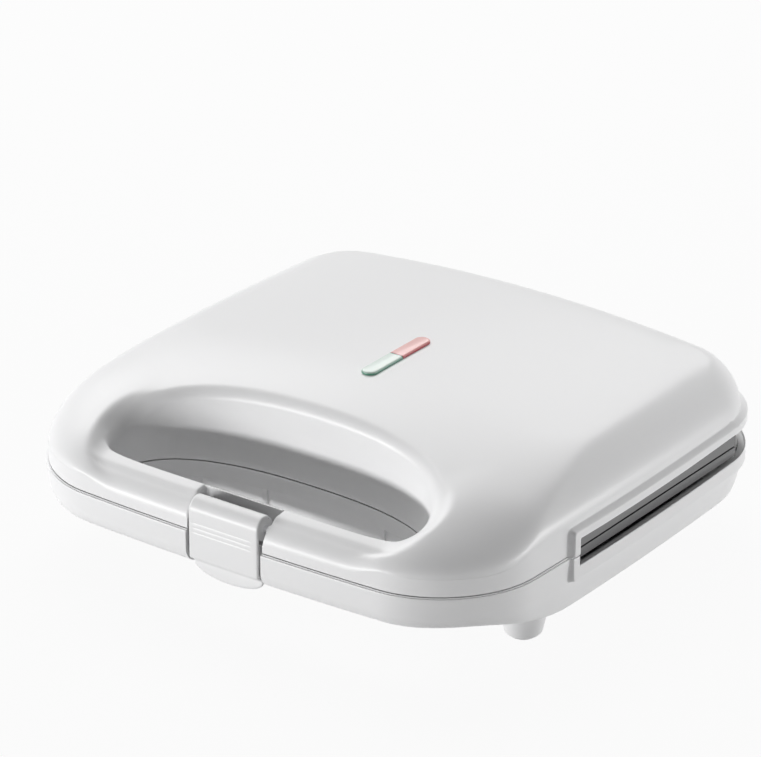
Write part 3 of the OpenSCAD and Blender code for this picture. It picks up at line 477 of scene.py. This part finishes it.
def lidScoop(column, row):  # down the finger opening
    x, y = openingPoint(column, grip["draft"])
    top = lidTop(x, y) - rimRadius(column)
    down = scoopRows[row]
    turned = grip["seamTurn"] if down == 1 else 0
    x, y = openingPoint(column, grip["draft"] * (1 - down) + turned)
    return x, y, mix(top, lidEdge, down)


def makeLid():
    shell = makeSkin("lidMoulding", [(len(wallLevels), lidWall), (topRows, lidOver), (len(rimTurns), lidRim),
                                     (len(scoopRows), lidScoop)])
    cutVent(shell, next(k for k, level in enumerate(wallLevels) if lidEdge + level > vent["top"] - hair))
    weld(shell, flip=facesInward(shell))
    thickenSheet(shell)
    return shell


def cutVent(shell, rows):  # the vents run from the side walls round the rear
    far = [column[1] > vent["front"] - hair for column in columns]
    isOpen = [far[k] and far[(k + 1) % columnCount] for k in range(columnCount)]
    selectFaces(shell, lambda face: face.index // columnCount < rows and isOpen[face.index % columnCount])
    bpy.ops.mesh.delete(type="FACE")
    bpy.ops.object.mode_set(mode="OBJECT")


def facesInward(shell):  # judged by the level face that lies furthest from the body's middle
    middle = 40 * mm
    face = max(shell.data.polygons, key=lambda f: abs(f.center.z - middle) * abs(f.normal.z))
    return face.normal.z * (face.center.z - middle) < 0


thinStrip = {"beside": 0.5, "behind": 3, "share": 0.4}  # behind the notch the wall is thinner


def thickenSheet(shell):
    group = shell.vertex_groups.new(name="wall")
    for vertex in shell.data.vertices:
        x, y = abs(vertex.co.x) / mm, vertex.co.y / mm
        thin = x < notch["half"] + thinStrip["beside"] and y < grip["front"] + thinStrip["behind"]
        group.add([vertex.index], thinStrip["share"] if thin else 1, "REPLACE")
    applyModifier(shell, "SOLIDIFY", thickness=body["wall"] * mm, offset=-1, vertex_group="wall",
                  use_even_offset=False)
    shell.vertex_groups.clear()


# The base moulding: from the seam down the wall, under the belly and up the finger opening.
base = {
    "barHigh": 15.2, "barRound": 7.4, "belly": 12, "slope": (-96, 60),
    "draft": 1.1, "draftBehind": (-111, 12), "underWide": 6.5, "underHigh": 13.8, "notchEdge": 1,
    "stepTop": 30.8, "stepBack": 5.5, "stepHalf": 60, "stepBehind": (-75, 6), "stepEnd": 5,
    "ribX": 28.7, "ribWide": 2.6, "ribDeep": 1.2, "ribRound": 0.3,
    "ledge": [(-0.6, 33.2), (0.7, 33.05), (1.9, 32.7)], "ledgeThick": 0.8, "ledgeFrom": 0.2, "ledgeTurn": 0.7,
}
stepAt = grip["front"] + grip["deep"] + base["stepBack"]
# Its rows on the wall lie below the seam, beside the vent's edge and in a fine band at the lip's lower end.
wallRows = {
    "seam": [-0.42, 0.02, 0.04, 0.14, 0.45, 2],
    "ventEdge": [-0.75, -0.35, -0.12, 0, 0.2, 0.5, 1, 2, 3, 4, 5],
    "lipFrom": 1.4, "lipStep": 0.14, "lipCount": 12, "under": 10, "floor": 14,
}
ventDrop = baseEdge - vent["bottom"]
lipDrop = ventDrop + vent["lowerLip"]
baseFall = baseEdge - base["belly"] - base["underHigh"]  # down to where the underside turns in
baseLevels = wallRows["seam"] + [ventDrop + d for d in wallRows["ventEdge"]]
baseLevels += [lipDrop - wallRows["lipFrom"] + wallRows["lipStep"] * k for k in range(wallRows["lipCount"])]
underTurns = [math.radians(90 / wallRows["under"] * k) for k in range(wallRows["under"] + 1)]
floorRows = [(k + 1) / wallRows["floor"] for k in range(wallRows["floor"])]
openingRows = [0, 0.25, 0.5, 0.75, 0.97, 1, 2, 2.03, 2.3, 2.6, 2.9, 3]  # the belly's front wall ends at 1


def floorAt(y):
    return mix(body["seam"] - base["barHigh"], base["belly"], ramp(y, *base["slope"]))


def underRound(y):  # depth and height of the rounding under the wall
    share = ramp(y, *base["slope"])
    return mix(base["barRound"], base["underWide"], share), mix(base["barRound"], base["underHigh"], share)


def draftAt(y):
    return base["draft"] * ramp(y, *base["draftBehind"])


def stepPoint(column):  # behind the opening the belly's wall stands further back
    gx, gy = openingPoint(column, 0)
    share = ramp(gy, *base["stepBehind"]) * (1 - ramp(abs(gx), base["stepHalf"], base["stepEnd"]))
    return gx, mix(gy, stepAt, share)


def baseWall(column, row):
    y = outlinePoint(column, 0)[1]
    low = floorAt(y)
    high = underRound(y)[1]
    fall = baseLevels[row] / baseFall
    z = baseEdge - (baseEdge - low - high) * fall
    side = columns[column][1]
    out = vent["lowerProud"] + base["draft"] * fall
    share = lipShare(side, z, vent["bottom"] - vent["lowerLip"], -1, vent["lowerSoft"]) * out
    share -= draftAt(y) * fall + vent["rollDeep"] * ventRoll(side, z, vent["bottom"], -1)
    if row < len(body["baseTurn"]):
        share -= body["baseTurn"][row]
    x, y = outlinePoint(column, -share)
    if isNotch(column):
        return x, notch["baseBack"], mix(baseEdge, low + base["notchEdge"], fall)
    return x, y, z


def baseUnder(column, row):  # rounded under
    x, y = outlinePoint(column, 0)
    low = floorAt(y)
    wide, high = underRound(y)
    if isNotch(column):
        return x, notch["baseBack"], mix(low + base["notchEdge"], low, row / wallRows["under"])
    turn = underTurns[row]
    x, y = outlinePoint(column, draftAt(y) + wide * (1 - math.cos(turn)))
    return x, y, low + high * (1 - math.sin(turn))


def baseBelly(column, row):
    y = outlinePoint(column, 0)[1]
    x, y = outlinePoint(column, draftAt(y) + underRound(y)[0])
    stepX, stepY = stepPoint(column)
    t = floorRows[row]
    if isNotch(column):
        y = mix(notch["baseBack"], stepY, t)
    else:
        x, y = mix(x, stepX, t), mix(y, stepY, t)
    return x, y, floorAt(y)


def baseOpening(column, row):  # up the belly's front wall, then up the finger opening
    rise = openingRows[row]
    stepX, stepY = stepPoint(column)
    if rise <= 1:
        return stepX, stepY, mix(floorAt(stepY), base["stepTop"], rise)
    gx, gy = openingPoint(column, 0)
    return gx, gy, mix(base["stepTop"], baseEdge, rise - 2)


def makeBase():
    shell = makeSkin("baseMoulding", [(len(baseLevels), baseWall), (len(underTurns), baseUnder),
                                      (len(floorRows), baseBelly), (len(openingRows), baseOpening)])
    cutVent(shell, next(k for k, level in enumerate(baseLevels) if baseEdge - level < vent["bottom"] + hair))
    weld(shell, flip=facesInward(shell))
    thickenSheet(shell)
    parts = [shell]
    for side in (-1, 1):
        parts += [makeLedge(side), makeRib(side)]
    return joinPieces("baseMoulding", parts)


def makeRib(side):
    size = (base["ribWide"], 2 * base["ribDeep"], base["stepTop"] - base["belly"])
    place = (side * base["ribX"], stepAt, (base["stepTop"] + base["belly"]) / 2)
    return makeBlock("rib", size, place, base["ribRound"], 2)


def makeLedge(side):  # a shelf between the lower lip and the plate, round to the middle of the rear corner
    front = vent["front"] + base["ledgeFrom"]
    half = range(columnCount // 2)
    wanted = [k for k in half if columns[k][1] > front and columns[k][2] > base["ledgeTurn"]]

    def place(column, row):
        inset, z = base["ledge"][row]
        x, y = outlinePoint(wanted[column], inset)
        return side * x, y, z

    ledge = surfaceGrid("ledge", len(wanted), len(base["ledge"]), False, place)
    weld(ledge, flip=ledge.data.polygons[0].normal.z < 0)
    applyModifier(ledge, "SOLIDIFY", thickness=base["ledgeThick"] * mm, offset=-1)
    return ledge


# The latch: a curved plate with fine grooves and a rounded thumb tab.
latch = {
    "half": 16.7, "front": -110.8, "pinY": -105.4, "pinZ": 46.4, "turnRadius": 5.4, "topAngle": 60,
    "crease": 27.6, "recede": 3.2, "recedeHigh": 3.4, "edge": 0.9, "thick": 1.9,
    "sidePower": 1.8, "topFall": 0.45,
    "grooves": [42.2, 40.2, 38.2], "grooveFrom": -14.6, "grooveTo": 12.8,
    "grooveDeep": 0.16, "grooveHalf": 0.5, "groovesTop": 43.2, "groovesLow": 37.2,
    "across": 40, "turnRows": 16, "upperRows": 3, "lowerRows": 8,
    "besideGroove": [0.55, 0.3, 0.12, 0, -0.12, -0.3, -0.55],
}
tab = {"tip": 18.6, "power": 2.1, "turn": 0.4, "turnFrom": 0.85, "rows": 20}
ear = {"smaller": 0.5, "wide": 2, "inset": 1.3, "round": 0.5}
hook = {"size": (20, 3, 1.8), "behind": 3.4, "high": 29.5, "round": 0.4}


def latchProfile():  # rows from the rear top edge, over the front and down to the crease: y, z and normal
    rows = []
    for angle in steps(math.radians(latch["topAngle"]), math.pi, latch["turnRows"]):
        ny, nz = math.cos(angle), math.sin(angle)
        y, z = latch["pinY"] + latch["turnRadius"] * ny, latch["pinZ"] + latch["turnRadius"] * nz
        rows.append((y, z, ny, nz))
    levels = steps(latch["pinZ"], latch["groovesTop"], latch["upperRows"])
    for groove in latch["grooves"]:
        levels += [groove + d for d in latch["besideGroove"]]
    levels += steps(latch["groovesLow"], latch["crease"], latch["lowerRows"])
    return rows + [(latch["front"], z, -1, 0) for z in levels]


latchRows = latchProfile()


def clipPlace(x, row):  # y, z, normal and how far the point is drawn in
    y, z, ny, nz = latchRows[row]
    inward = 0
    for groove in latch["grooves"]:
        away = abs(z - groove) / latch["grooveHalf"]
        if away < 1 and latch["grooveFrom"] < x < latch["grooveTo"]:
            inward = latch["grooveDeep"] * (1 - away)
    topEdge = max(0, latch["edge"] - row * latch["topFall"])
    return y, z, ny, nz, inward + topEdge * topEdge / 2


def tabPlace(x, row):
    t = row / (tab["rows"] - 1)
    low = latch["crease"] - latch["recedeHigh"]
    wide = min(1, (abs(x) / latch["half"]) ** tab["power"])
    tip = tab["tip"] + (low - tab["tip"]) * (1 - math.sqrt(1 - wide))
    z = mix(latch["crease"], tip, t)
    y = latch["front"] + latch["recede"] * smooth((latch["crease"] - z) / latch["recedeHigh"])
    turned = max(0, t - tab["turnFrom"]) / (1 - tab["turnFrom"])
    return y, z, -1, 0, tab["turn"] * turned ** 2


def latchPlace(column, row):
    u = -1 + 2 * column / latch["across"]
    spread = math.copysign(1 - (1 - abs(u)) ** latch["sidePower"], u)  # closer together at the sides
    x = spread * latch["half"]
    onClip = row < len(latchRows)
    y, z, ny, nz, inward = clipPlace(x, row) if onClip else tabPlace(x, row - len(latchRows))
    toEdge = latch["half"] - abs(spread) * latch["half"]
    if toEdge < latch["edge"]:
        inward += latch["edge"] - math.sqrt(latch["edge"] ** 2 - (latch["edge"] - toEdge) ** 2)
    return x, y - ny * inward, z - nz * inward


def makeEar(side):  # it turns on the pin
    clearSelection()
    radius = (latch["turnRadius"] - ear["smaller"]) * mm
    bpy.ops.mesh.primitive_cylinder_add(vertices=64, radius=radius, depth=ear["wide"] * mm)
    disc = newPiece("ear")
    disc.rotation_euler = (0, math.pi / 2, 0)
    disc.location = (side * (latch["half"] - ear["inset"]) * mm, latch["pinY"] * mm, latch["pinZ"] * mm)
    applyPlace(disc)
    applyModifier(disc, "BEVEL", width=ear["round"] * mm, segments=3, limit_method="ANGLE")
    return disc


def makeLatch():
    plate = surfaceGrid("latchClip", latch["across"] + 1, len(latchRows) + tab["rows"], False, latchPlace)
    weld(plate, flip=False)
    front = max(plate.data.polygons, key=lambda f: f.area)
    if front.normal.y > 0:
        weld(plate, flip=True)
    applyModifier(plate, "SOLIDIFY", thickness=latch["thick"] * mm, offset=-1)
    parts = [plate, makeEar(-1), makeEar(1)]
    hookPlace = (0, latch["front"] + hook["behind"], hook["high"])
    parts.append(makeBlock("hook", hook["size"], hookPlace, hook["round"], 3))
    return joinPieces("latchClip", parts)


# The pilot window: two tinted halves of one raised bar.
window = {
    "y": 2.2, "long": 41.8, "wide": 6.8, "top": 75.75, "bottom": 71, "edge": 0.9,
    "division": 2.2, "gap": 0.04,
    "paintedShadeTo": 75, "paintedLightFrom": 75.65, "line": (0.4, 0.7),  # heights and widths where the lens's painted shade gives way to its painted light
}


def makeLens(name, front):
    clearSelection()
    radius = window["wide"] / 2
    high = window["top"] - window["bottom"]
    bpy.ops.mesh.primitive_cylinder_add(vertices=96, radius=radius * mm, depth=high * mm)
    piece = newPiece(name)
    piece.location = (0, window["y"] * mm, (window["top"] + window["bottom"]) / 2 * mm)
    applyPlace(piece)
    for vertex in piece.data.vertices:  # drawn out to a bar with round ends
        reach = (window["long"] / 2 - radius) * mm
        vertex.co.y += reach if vertex.co.y > window["y"] * mm else -reach
    selectFaces(piece, lambda face: face.normal.z > 0.9)
    bpy.ops.mesh.region_to_loop()
    bpy.ops.mesh.bevel(offset=window["edge"] * mm, segments=5)
    bpy.ops.mesh.select_all(action="SELECT")
    division = (0, (window["division"] + (-window["gap"] if front else window["gap"])) * mm, 0)
    bpy.ops.mesh.bisect(plane_co=division, plane_no=(0, 1, 0), use_fill=True, clear_outer=front,
                        clear_inner=not front)
    bpy.ops.object.mode_set(mode="OBJECT")
    smoothShade(piece, 30)
    return piece


# The feet: tapered, with a well rounded lower edge, and the pads under them.
foot = {
    "places": [(x * side, y) for x, y in ((94.5, -45), (90, 76)) for side in (-1, 1)],
    "low": 0.5, "high": 15, "lowRadius": 7.2, "highRadius": 10.2, "round": 2.6,
    "padRadius": 5, "padHigh": 1.6, "padRound": 0.3,
}


def roundedCone(name, spot, low, high, lowRadius, highRadius, rounding):
    clearSelection()
    bpy.ops.mesh.primitive_cone_add(vertices=72, radius1=lowRadius * mm, radius2=highRadius * mm,
                                    depth=(high - low) * mm)
    cone = newPiece(name)
    cone.location = (spot[0] * mm, spot[1] * mm, (high + low) / 2 * mm)
    applyPlace(cone)
    selectFaces(cone, lambda face: face.normal.z < -0.9)
    bpy.ops.mesh.region_to_loop()
    bpy.ops.mesh.bevel(offset=rounding * mm, segments=6)
    bpy.ops.object.mode_set(mode="OBJECT")
    return cone


def coneGroup(groupName, name, *sizes):
    group = joinPieces(groupName, [roundedCone(name, spot, *sizes) for spot in foot["places"]])
    smoothShade(group, 30)
    return group


def makeFeet():
    return coneGroup("moulded_feet", "foot", foot["low"], foot["high"], foot["lowRadius"],
                     foot["highRadius"], foot["round"])


def makePads():
    return coneGroup("rubberPads", "pad", 0, foot["padHigh"], foot["padRadius"], foot["padRadius"],
                     foot["padRound"])


# The finishes. A Wire is a value in a shader, used like a number.
class Wire:
    def __init__(self, tree, socket):
        self.tree = tree
        self.socket = socket

    def maths(self, operation, first, second):
        node = self.tree.nodes.new("ShaderNodeMath")
        node.operation = operation
        for index, value in enumerate((first, second)):
            if isinstance(value, Wire):
                self.tree.links.new(value.socket, node.inputs[index])
            else:
                node.inputs[index].default_value = value
        return Wire(self.tree, node.outputs[0])

    def __radd__(self, other):
        return self.maths("ADD", other, self)

    def __sub__(self, other):
        return self.maths("SUBTRACT", self, other)

    def __mul__(self, other):
        return self.maths("MULTIPLY", self, other)

    def __rmul__(self, other):
        return self.maths("MULTIPLY", other, self)

    def __abs__(self):
        return self.maths("ABSOLUTE", self, 0)


class Finish:  # a material while its nodes are laid out
    def __init__(self, name):
        self.material = bpy.data.materials.new(name)
        self.material.use_nodes = True
        self.tree = self.material.node_tree
        self.tree.nodes.clear()

    def node(self, kind, settings=None, values=None, output=0):
        made = self.tree.nodes.new("ShaderNode" + kind)
        for name, value in (settings or {}).items():
            if name == "stops":
                for stop, (place, colour) in zip(made.color_ramp.elements, value):
                    stop.position = place
                    stop.color = (*colour, 1)
            else:
                setattr(made, name, value)
        for name, value in (values or {}).items():
            if isinstance(value, Wire):
                self.tree.links.new(value.socket, made.inputs[name])
            else:
                made.inputs[name].default_value = value
        return Wire(self.tree, made.outputs[output])

    def surface(self, shader):
        end = self.tree.nodes.new("ShaderNodeOutputMaterial")
        self.tree.links.new(shader.socket, end.inputs["Surface"])
        return self.material

    def principled(self, values):
        return self.surface(self.node("BsdfPrincipled", values=values))

    def place(self):
        return self.node("TexCoord", output=3)

    def axis(self, number):  # 0, 1 or 2 for x, y or z
        return self.node("SeparateXYZ", values={"Vector": self.place()}, output=number)

    def noise(self, scale, detail=2):
        return self.node("TexNoise", values={"Vector": self.place(), "Scale": scale, "Detail": detail,
                                             "Roughness": 0.5})

    def between(self, value, low, high):  # 0 up to low, 1 from high on, both in millimetres
        return self.node("MapRange", values={"Value": value, "From Min": low * mm, "From Max": high * mm})

    def tint(self, amount, dark, light):
        dark, light = (end if isinstance(end, Wire) else (*end, 1) for end in (dark, light))
        return self.node("Mix", {"data_type": "RGBA"}, {0: amount, 6: dark, 7: light}, output=2)

    def bump(self, height, strength, distance):
        return self.node("Bump", values={"Height": height, "Strength": strength, "Distance": distance})


def mouldedPlastic(name, light, dark, roughness, coat, grain):
    finish = Finish(name)
    cloud = finish.noise(18, 3)
    return finish.principled({
        "Base Color": finish.tint(cloud, dark, light),
        "Roughness": roughness + 0.05 * cloud,
        "Normal": finish.bump(finish.noise(grain), 0.05, 0.0002),
        "Coat Weight": coat, "Coat Roughness": 0.24, "IOR": 1.46,
    })


def brushedMetal(name, light, dark, roughness, stretch=(1, 1, 1)):
    finish = Finish(name)
    along = finish.node("Mapping", values={"Vector": finish.place(), "Scale": stretch})
    scratches = finish.node("TexNoise", values={"Vector": along, "Scale": 900.0, "Detail": 3.0})
    return finish.principled({
        "Base Color": finish.tint(finish.noise(60), dark, light), "Metallic": 1.0,
        "Roughness": roughness + 0.15 * scratches,
        "Normal": finish.bump(scratches, 0.15, 0.0002),
    })


plateCoat = {
    "dark": (0.03, 0.03, 0.031), "light": (0.075, 0.075, 0.077), "specks": (0.62, 0.7),
    "side": (0.15, 0.15, 0.152), "litSideFrom": 111.8, "litSideTo": 112.2,  # painted light: the plates' side faces are painted paler, standing in for the light that falls on them
}


def nonStick(name):
    finish = Finish(name)
    few, many = plateCoat["specks"]
    speck = finish.node("ValToRGB", {"stops": [(few, (0, 0, 0)), (many, (1, 1, 1))]},
                        {"Fac": finish.noise(1400, 1)})
    grain = finish.noise(2600)
    # painted light: a paler colour on the plates' side faces, as if they were lit
    sides = finish.between(abs(finish.axis(0)), plateCoat["litSideFrom"], plateCoat["litSideTo"])
    coat = finish.tint(speck, plateCoat["dark"], plateCoat["light"])
    return finish.principled({
        "Base Color": finish.tint(sides, coat, plateCoat["side"]),
        "Roughness": 0.38 + 0.15 * grain,
        "Normal": finish.bump(grain, 0.25, 0.0001),
        "Coat Weight": 0.3, "Coat Roughness": 0.2,
    })


# Tinted clear plastic, drawn opaque with its light and shade painted in: pale on top, as the lit space under
# it would show through, and deep on its side walls and along the division, as painted shade.
def lensPlastic(name, deep, pale):
    finish = Finish(name)
    # painted light on the top of the lens, and painted shade on its side walls and at the division
    paintedLitTop = finish.between(finish.axis(2), window["paintedShadeTo"], window["paintedLightFrom"])
    away = finish.between(abs(finish.axis(1) - window["division"] * mm), *window["line"])
    cloud = finish.noise(260)
    soft = finish.tint(cloud, tuple(0.88 * c for c in pale), pale)
    return finish.principled({
        "Base Color": finish.tint(paintedLitTop * away, deep, soft), "Roughness": 0.3 + 0.06 * cloud,
        "Coat Weight": 0.35, "Coat Roughness": 0.12, "Normal": finish.bump(cloud, 0.1, 0.0002),
    })


def matt(name, light, dark, roughness, scale=500):
    finish = Finish(name)
    grain = finish.noise(scale, 4)
    return finish.principled({
        "Base Color": finish.tint(grain, dark, light), "Roughness": roughness + 0.1 * grain,
        "Normal": finish.bump(grain, 0.25, 0.0003),
    })


def clearGlass(name):
    finish = Finish(name)
    glow = finish.noise(300)
    return finish.principled({
        "Base Color": finish.tint(glow, (0.9, 0.62, 0.45), (0.98, 0.85, 0.75)),
        "Roughness": 0.05 + 0.05 * glow, "Transmission Weight": 0.8, "IOR": 1.5,
    })


finishes = {
    "shell": mouldedPlastic("glossyWhiteShell", (0.90, 0.90, 0.905), (0.885, 0.885, 0.89), 0.36, 0.12, 900),
    "feet": mouldedPlastic("satinWhiteFeet", (0.86, 0.86, 0.865), (0.84, 0.84, 0.845), 0.35, 0.1, 900),
    "cover": mouldedPlastic("satinCover", (0.8, 0.8, 0.8), (0.77, 0.77, 0.77), 0.45, 0, 1500),
    "panel": mouldedPlastic("satinPanel", (0.78, 0.78, 0.78), (0.75, 0.75, 0.75), 0.42, 0, 1500),
    "nonStick": nonStick("nonStickCoating"),
    "screw": brushedMetal("zincScrew", (0.72, 0.72, 0.74), (0.6, 0.6, 0.62), 0.28),
    "sheath": brushedMetal("heatedSheath", (0.36, 0.33, 0.3), (0.22, 0.2, 0.19), 0.45),
    "sheet": brushedMetal("rolledSheet", (0.86, 0.87, 0.88), (0.8, 0.8, 0.82), 0.2, (1, 12, 1)),
    "can": brushedMetal("tinnedCan", (0.75, 0.68, 0.5), (0.62, 0.55, 0.4), 0.3),
    "steel": brushedMetal("pressedSteel", (0.66, 0.66, 0.67), (0.55, 0.55, 0.57), 0.3, (8, 1, 1)),
    "pin": brushedMetal("groundPin", (0.78, 0.78, 0.79), (0.7, 0.7, 0.71), 0.18, (1, 20, 20)),
    "terminal": matt("satinTerminal", (0.86, 0.84, 0.78), (0.8, 0.78, 0.72), 0.45),
    "rubber": matt("paleRubber", (0.72, 0.72, 0.72), (0.64, 0.64, 0.64), 0.75),
    "sleeve": matt("glassFibreSleeve", (0.84, 0.82, 0.75), (0.7, 0.68, 0.6), 0.7, 1800),
    "ceramic": matt("unglazedCeramic", (0.85, 0.82, 0.75), (0.76, 0.73, 0.66), 0.8),
    "neon": clearGlass("neonGlass"),
    "green": lensPlastic("greenLens", (0.05, 0.22, 0.14), (0.72, 0.84, 0.77)),
    "red": lensPlastic("redLens", (0.34, 0.008, 0.018), (0.86, 0.4, 0.37)),
}

nodeFinishes = {  # the nodes that stay as the solids show them
    "cover": ["bottom_cover"],
    "panel": ["base_front_panel", "base_rear_panel", "lid_front_panel", "lid_rear_panel"],
    "nonStick": ["lower_plate", "upper_plate"],
    "screw": ["lower_plate_screws", "upper_plate_screws", "cover_screws",
              "base_hinge_screws", "lid_hinge_screws"],
    "sheath": ["lower_heater", "upper_heater"],
    "sheet": ["lower_reflector", "upper_reflector"],
    "can": ["thermal_fuse"],
    "terminal": ["terminal_block", "lamp_holder"],
    "rubber": ["cord_inlet"],
    "steel": ["base_hinges", "lid_hinges"],
    "pin": ["hinge_pins", "latch_pin"],
    "sleeve": ["lower_wire_sleeve", "upper_wire_sleeve"],
    "ceramic": ["thermostat"],
    "neon": ["neon_lamps"],
}
for finishName, nodeNames in nodeFinishes.items():
    for nodeName in nodeNames:
        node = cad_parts[nodeName]
        if not node.material_slots:
            node.data.materials.append(finishes[finishName])
        for slot in node.material_slots:
            slot.material = finishes[finishName]
print("finishes:", len(finishes))

lidShell = makeLid()
smoothShade(lidShell, 40)
dress(lidShell, "lid", "white_shell", finishes["shell"], "lid_shell")
print("lid:", len(lidShell.data.polygons), "faces")
baseShell = makeBase()
smoothShade(baseShell, 40)
dress(baseShell, "base", "white_shell", finishes["shell"], "base_shell")
print("base:", len(baseShell.data.polygons), "faces")
latchClip = makeLatch()
smoothShade(latchClip, 40)
dress(latchClip, "latch", "white_latch", finishes["shell"], "latch")
for lensName, colour in (("greenWindow", "green"), ("redWindow", "red")):
    lens = makeLens(lensName, colour == "green")
    dress(lens, "lid", "lens_" + colour, finishes[colour], "lens_" + colour)
dress(makeFeet(), "base", "white_feet", finishes["feet"], "feet")
dress(makePads(), "base", "pad_rubber", finishes["rubber"], "foot_pads")
print("latch, window, feet and pads made")


# The floor, the light and the camera.
studio = {
    "worldStrength": 0.09, "aim": (0, 0, 0.04),
    "floorSize": 8, "floorDark": (0.5, 0.5, 0.5), "floorLight": (0.54, 0.54, 0.54), "floorWhite": 0.94,
    # name: place, size, energy; each looks at the object
    "lamps": {
        "rearSoftbox": ((-0.8, 0.82, 1.18), (1.6, 1.2), 22.5),
        "frontLeftLowSoftbox": ((-1.05, -1.75, 0.06), (1.8, 0.12), 32),
        "rearRightLowSoftbox": ((1.65, 0.75, 0.07), (1.3, 0.14), 16),
    },
}
white = (1, 1, 1, 1)


def seenDirectly(tree):  # 1 for what the camera, gloss and clear plastic look at
    path = tree.nodes.new("ShaderNodeLightPath")
    camera, gloss, clear = (Wire(tree, path.outputs[name]) for name in
                            ("Is Camera Ray", "Is Glossy Ray", "Is Transmission Ray"))
    return camera.maths("MAXIMUM", camera, camera.maths("MAXIMUM", gloss, clear))


def whiteRoom(finish, shader):  # such rays meet a white floor that still takes the object's shadow
    glow = finish.node("Emission", values={"Color": white, "Strength": 1})
    share = seenDirectly(finish.tree) * studio["floorWhite"]
    return finish.node("MixShader", values={"Fac": share, 1: shader, 2: glow})


def makeFloor():
    clearSelection()
    bpy.ops.mesh.primitive_plane_add(size=studio["floorSize"], location=(0, 0, 0))
    floor = newPiece("studioFloor")
    finish = Finish("paleFloor")
    colour = finish.tint(finish.noise(40), studio["floorDark"], studio["floorLight"])
    shader = finish.node("BsdfPrincipled", values={"Base Color": colour, "Roughness": 0.7})
    floor.data.materials.append(finish.surface(whiteRoom(finish, shader)))


def makeWorld():
    world = bpy.data.worlds.new("paleStudio")
    bpy.context.scene.world = world
    world.use_nodes = True
    tree = world.node_tree
    tree.nodes.clear()
    strength = studio["worldStrength"] + (1 - studio["worldStrength"]) * seenDirectly(tree)
    light = tree.nodes.new("ShaderNodeBackground")
    tree.links.new(strength.socket, light.inputs["Strength"])
    light.inputs["Color"].default_value = white
    end = tree.nodes.new("ShaderNodeOutputWorld")
    tree.links.new(light.outputs[0], end.inputs["Surface"])


def makeLamps():
    for name, (place, size, energy) in studio["lamps"].items():
        lamp = bpy.data.lights.new(name, "AREA")
        lamp.shape = "RECTANGLE"
        lamp.size, lamp.size_y = size
        lamp.energy = energy
        holder = bpy.data.objects.new(name, lamp)
        bpy.context.scene.collection.objects.link(holder)
        holder.location = place
        holder.rotation_euler = (Vector(studio["aim"]) - Vector(place)).to_track_quat("-Z", "Y").to_euler()


view = {
    "azimuth": 35.86, "elevation": 24.56, "roll": 0.16, "place": (0.9410, -1.3102, 0.8031),
    "focalPixels": 4466.5, "framePixels": 761, "film": 36,
}


def makeCamera():
    turn, rise, roll = (math.radians(view[name]) for name in ("azimuth", "elevation", "roll"))
    back = Vector((math.sin(turn) * math.cos(rise), -math.cos(turn) * math.cos(rise), math.sin(rise)))
    level = Vector((math.cos(turn), math.sin(turn), 0))
    above = back.cross(level)
    right = level * math.cos(roll) + above * math.sin(roll)
    up = above * math.cos(roll) - level * math.sin(roll)
    data = bpy.data.cameras.new("photoCamera")
    data.sensor_width = view["film"]
    data.lens = view["focalPixels"] / view["framePixels"] * view["film"]
    data.clip_end = 30
    camera = bpy.data.objects.new("photoCamera", data)
    bpy.context.scene.collection.objects.link(camera)
    camera.matrix_world = Matrix.Translation(view["place"]) @ Matrix((right, up, back)).transposed().to_4x4()
    bpy.context.scene.camera = camera


makeFloor()
makeWorld()
makeLamps()
makeCamera()
bpy.context.scene.view_settings.view_transform = "Standard"
print("studio ready")

clearSelection()
